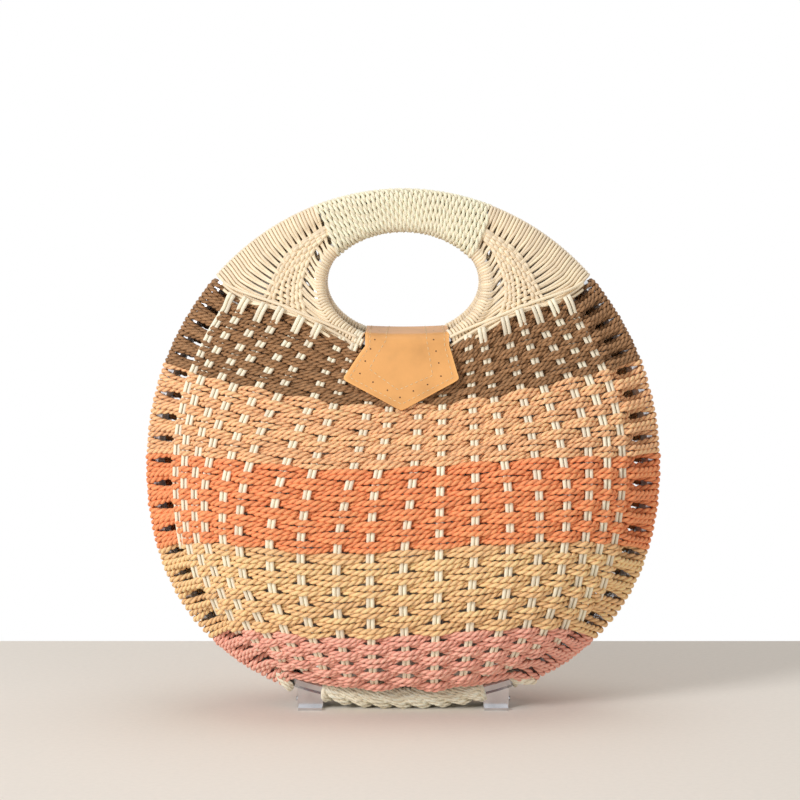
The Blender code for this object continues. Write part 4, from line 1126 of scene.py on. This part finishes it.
def leather_side(run):
    """Side view of the leather's middle layer: y, z, how much it follows the ring, and which way."""
    inner = LEATHER_INNER + LEATHER_THICKNESS / 2
    quarter = inner * math.pi / 2
    if run >= 0:
        hold = 1 - float(smooth(run / 0.015))
        return -RING_BAR_DEPTH - inner - FLAP_SLOPE * run, RING_BOTTOM - run, hold, -1
    back = -run
    if back < quarter:
        turn = back / inner
        return -RING_BAR_DEPTH - inner * math.cos(turn), RING_BOTTOM + inner * math.sin(turn), 1, -1
    back -= quarter
    if back < 2 * RING_BAR_DEPTH:
        return back - RING_BAR_DEPTH, RING_BOTTOM + inner, 1, back / RING_BAR_DEPTH - 1
    back -= 2 * RING_BAR_DEPTH
    if back < quarter:
        turn = back / inner
        return RING_BAR_DEPTH + inner * math.sin(turn), RING_BOTTOM + inner * math.cos(turn), 1, 1
    share = max(1 - (back - quarter) / TAIL_DROP, 0.0)
    foot = TAIL_FOOT + LEATHER_THICKNESS / 2
    y = foot + (RING_BAR_DEPTH + inner - foot) * share
    return y, RING_BOTTOM - TAIL_DROP * (1 - share), float(smooth(share)), 1


def leather_middle(x, run):
    """The leather rests on the rings at its sides and spans its middle."""
    y, z, hold, lean = leather_side(run)
    angle = -math.acos(min(abs(x), STRAP_RIGHT) / RING_HALF_WIDTH)
    step = ring_point(angle)[1] - ring_point(-math.pi / 2)[1]
    return np.array([x, y - step * hold * lean, z + (0.0009 + 0.0010 * (x / STRAP_RIGHT) ** 2) * hold])


def leather_point(x, run, out):
    """A point above the leather's outer face, and the way out of it."""
    here = leather_middle(x, run)
    down = leather_middle(x, run + 0.0005) - leather_middle(x, run - 0.0005)
    across = leather_middle(x + 0.0005, run) - leather_middle(x - 0.0005, run)
    normal = np.cross(down, across)
    normal /= np.linalg.norm(normal)
    return here + normal * (LEATHER_THICKNESS / 2 + out), normal


def leather_sheet():
    """The strap and flap as one sheet, from the back tail over both rings to the tip."""
    quarter = (LEATHER_INNER + LEATHER_THICKNESS / 2) * math.pi / 2
    tail = 2 * quarter + 2 * RING_BAR_DEPTH
    stretches = ((-tail - TAIL_DROP, -tail, 9), (-tail, -tail + quarter, 9), (-tail + quarter, -quarter, 21),
                 (-quarter, 0, 9))
    runs = np.concatenate([*(np.linspace(*stretch)[:-1] for stretch in stretches), FLAP_DROPS])
    columns = LEATHER_COLUMNS
    points, faces, edge = [], [], []
    for run in runs:
        left, right = (np.interp(run, FLAP_DROPS, side) for side in (FLAP_LEFT, FLAP_RIGHT))
        for column in range(columns):
            points.append(tuple(leather_middle(left + (right - left) * column / (columns - 1), run)))
            edge.append(float(column in (0, columns - 1) or run in (runs[0], runs[-1])))
    for row in range(len(runs) - 1):
        for column in range(columns - 1):
            first = row * columns + column
            faces.append((first, first + 1, first + columns + 1, first + columns))
    mesh = bpy.data.meshes.new("closing_leather")
    mesh.from_pydata(points, [], faces)
    mesh.attributes.new("edge", "FLOAT", "POINT").data.foreach_set("value", np.array(edge, np.float32))
    return mesh


def stitches(line, chance):
    """Single stitches along a line, each a short thread that dips into the leather at its ends."""
    line = np.array(line)
    gaps = np.hypot(*np.diff(line, axis=0).T)
    far = np.concatenate([[0.0], np.cumsum(gaps)])
    made = []
    for start in np.arange(0.001, far[-1] - 0.003, STITCH_PITCH):
        points, guides = [], []
        for share in np.linspace(0, 1, 6):
            spot = start + STITCH_LENGTH * share
            x, run = (np.interp(spot, far, line[:, i]) for i in (0, 1))
            point, normal = leather_point(x, run, 0.00012 - 0.0005 * (2 * share - 1) ** 4)
            points.append(point)
            guides.append(normal)
        section = plain_section(THREAD_RADIUS, 6)
        made.append(varied(np.array(points), np.array(guides), section, 0.0006, chance))
    return made


class BASKET_OT_leather(bpy.types.Operator):
    """Cuts the leather strap and flap in one piece, folds it over both rings, stitches it and marks its
    punched holes with dark discs of painted shade
    """
    bl_idname = "basket.leather"
    bl_label = "Fold the leather"

    def execute(self, context):
        colours = context.scene.basket_colours
        piece = bpy.data.objects.new("closing_leather", leather_sheet())
        context.scene.collection.objects.link(piece)
        bpy.ops.object.select_all(action="DESELECT")
        context.view_layer.objects.active = piece
        piece.select_set(True)
        wall = piece.modifiers.new("wall", "SOLIDIFY")
        wall.thickness = LEATHER_THICKNESS
        wall.offset = 0.0
        wall.use_even_offset = True
        bpy.ops.object.modifier_apply(modifier="wall")
        bevel = piece.modifiers.new("bevel", "BEVEL")
        bevel.width = LEATHER_BEVEL
        bevel.segments = 3
        bevel.limit_method = "ANGLE"
        bevel.angle_limit = math.radians(50)
        bpy.ops.object.modifier_apply(modifier="bevel")
        if signed_volume(piece.data) < 0:
            piece.data.flip_normals()
        piece.data.shade_smooth()
        piece.data.materials.append(leather_material("strap_leather", tuple(colours.leather)))
        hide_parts("closing_strap", "closing_flap")
        chance = np.random.default_rng(61)
        thread = stitches(OUTER_STITCHES, chance) + stitches(INNER_STITCHES, chance)
        cotton = thread_material("sewing_thread", tuple(colours.thread))
        sewn = strands_object("leather_stitches", thread, cotton, None, False)
        marks = []
        # Each punched hole is a short dark brown disc set into the leather's face: painted shade standing in
        # for the shadowed hole
        for x, run in PUNCHES:
            ends = [leather_point(x, run, out) for out in (-0.0006, 0.00004)]
            marks.append(strand(np.array([end[0] for end in ends]), np.tile([1.0, 0.0, 0.0], (2, 1)),
                                plain_section(PUNCH_RADIUS, 10), 0.0003))
        hole_shade = leather_material("punched_core", srgb(92, 52, 24))
        punched = strands_object("leather_punches", marks, hole_shade, None, False)
        for one in (piece, sewn, punched):
            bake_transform(one)
        return {"FINISHED"}


# Metal

class BASKET_OT_metal(bpy.types.Operator):
    """Gives the steel and chrome parts their finish"""
    bl_idname = "basket.metal"
    bl_label = "Finish the metal"

    def execute(self, context):
        for name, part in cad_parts.items():
            if part.hide_render:
                continue
            chrome = "leaf" in name or "snap" in name
            colour = (0.72, 0.72, 0.74) if chrome else (0.60, 0.61, 0.63)
            material = metal_material(f"{name}_metal", colour, 0.16 if chrome else 0.26, 140.0)
            part.data.materials.clear()
            part.data.materials.append(material)
        return {"FINISHED"}


# Stage

class BASKET_OT_stage(bpy.types.Operator):
    """Sets the floor, the lamps and the camera of the photograph"""
    bl_idname = "basket.stage"
    bl_label = "Set the stage"

    def execute(self, context):
        colours = context.scene.basket_colours
        bpy.ops.object.select_all(action="DESELECT")
        bpy.ops.mesh.primitive_plane_add(size=2, location=(0, 0, 0))
        floor = context.object
        floor.name = "floor"
        for corner in floor.data.vertices:
            corner.co.x *= FLOOR_HALF_WIDTH
            corner.co.y = FLOOR_BACK if corner.co.y > 0 else FLOOR_FRONT
        made, tree, shader = new_material("floor_cloth", 0.9, specular=0.1)
        spot = node(tree, "ShaderNodeTexCoord").outputs["Object"]
        cloth = node(tree, "ShaderNodeTexNoise", {"Vector": spot, "Scale": 300.0, "Detail": 3.0})
        colour = tuple(colours.floor)
        stops = ((0.3, shade(colour, 0.97)), (0.7, colour))
        grain = cloth.outputs["Fac"]
        finish_material(tree, shader, ramp(tree, grain, stops), grain, 0.0002, 0.2)
        floor.data.materials.append(made)
        for name, place, size, energy in LAMPS:
            lamp = bpy.data.lights.new(name, "AREA")
            lamp.size = size
            lamp.energy = energy
            holder = bpy.data.objects.new(name, lamp)
            context.scene.collection.objects.link(holder)
            holder.location = place
            aim = Vector(LAMP_TARGET) - Vector(place)
            holder.rotation_euler = aim.to_track_quat("-Z", "Y").to_euler()
        world = bpy.data.worlds.new("studio")
        context.scene.world = world
        world.use_nodes = True
        tree = world.node_tree
        tree.nodes.clear()
        rays = node(tree, "ShaderNodeLightPath")
        seen = maths(tree, "MAXIMUM", rays.outputs["Is Camera Ray"], rays.outputs["Is Glossy Ray"])
        seen = maths(tree, "MAXIMUM", seen, rays.outputs["Is Transmission Ray"])
        soft = node(tree, "ShaderNodeBackground", {"Color": (1, 0.97, 0.93, 1), "Strength": WORLD_STRENGTH})
        white = node(tree, "ShaderNodeBackground", {"Color": (1, 1, 1, 1), "Strength": 1.0})
        both = node(tree, "ShaderNodeMixShader", {0: seen, 1: soft.outputs[0], 2: white.outputs[0]})
        node(tree, "ShaderNodeOutputWorld", {0: both.outputs[0]})
        lens = bpy.data.cameras.new("camera")
        lens.lens = CAMERA_LENS
        lens.sensor_width = CAMERA_SENSOR
        lens.shift_x = CAMERA_SHIFT
        camera = bpy.data.objects.new("camera", lens)
        context.scene.collection.objects.link(camera)
        camera.location = CAMERA_PLACE
        camera.rotation_euler = (math.radians(90 - CAMERA_PITCH), 0, 0)
        context.scene.camera = camera
        context.scene.view_settings.view_transform = "Standard"
        return {"FINISHED"}


class BASKET_PT_panel(bpy.types.Panel):
    bl_label = "Basket"
    bl_space_type = "VIEW_3D"
    bl_region_type = "UI"
    bl_category = "Basket"

    def draw(self, context):
        for settings in (context.scene.basket_sizes, context.scene.basket_colours):
            for name in settings.bl_rna.properties.keys():
                if name not in ("rna_type", "name"):
                    self.layout.prop(settings, name)
        for operator in OPERATORS:
            self.layout.operator(operator.bl_idname)


OPERATORS = (BASKET_OT_stage, BASKET_OT_weave, BASKET_OT_foot, BASKET_OT_rods, BASKET_OT_wicker,
             BASKET_OT_grip, BASKET_OT_lining, BASKET_OT_leather, BASKET_OT_metal)
CLASSES = (WeaveSettings, ColourSettings, *OPERATORS, BASKET_PT_panel)


def register():
    for one in CLASSES:
        bpy.utils.register_class(one)
    bpy.types.Scene.basket_sizes = bpy.props.PointerProperty(type=WeaveSettings)
    bpy.types.Scene.basket_colours = bpy.props.PointerProperty(type=ColourSettings)


def unregister():
    del bpy.types.Scene.basket_sizes
    del bpy.types.Scene.basket_colours
    for one in reversed(CLASSES):
        bpy.utils.unregister_class(one)


def main():
    register()
    for operator in OPERATORS:
        group, name = operator.bl_idname.split(".")
        getattr(getattr(bpy.ops, group), name)()


if __name__ == "__main__":
    main()
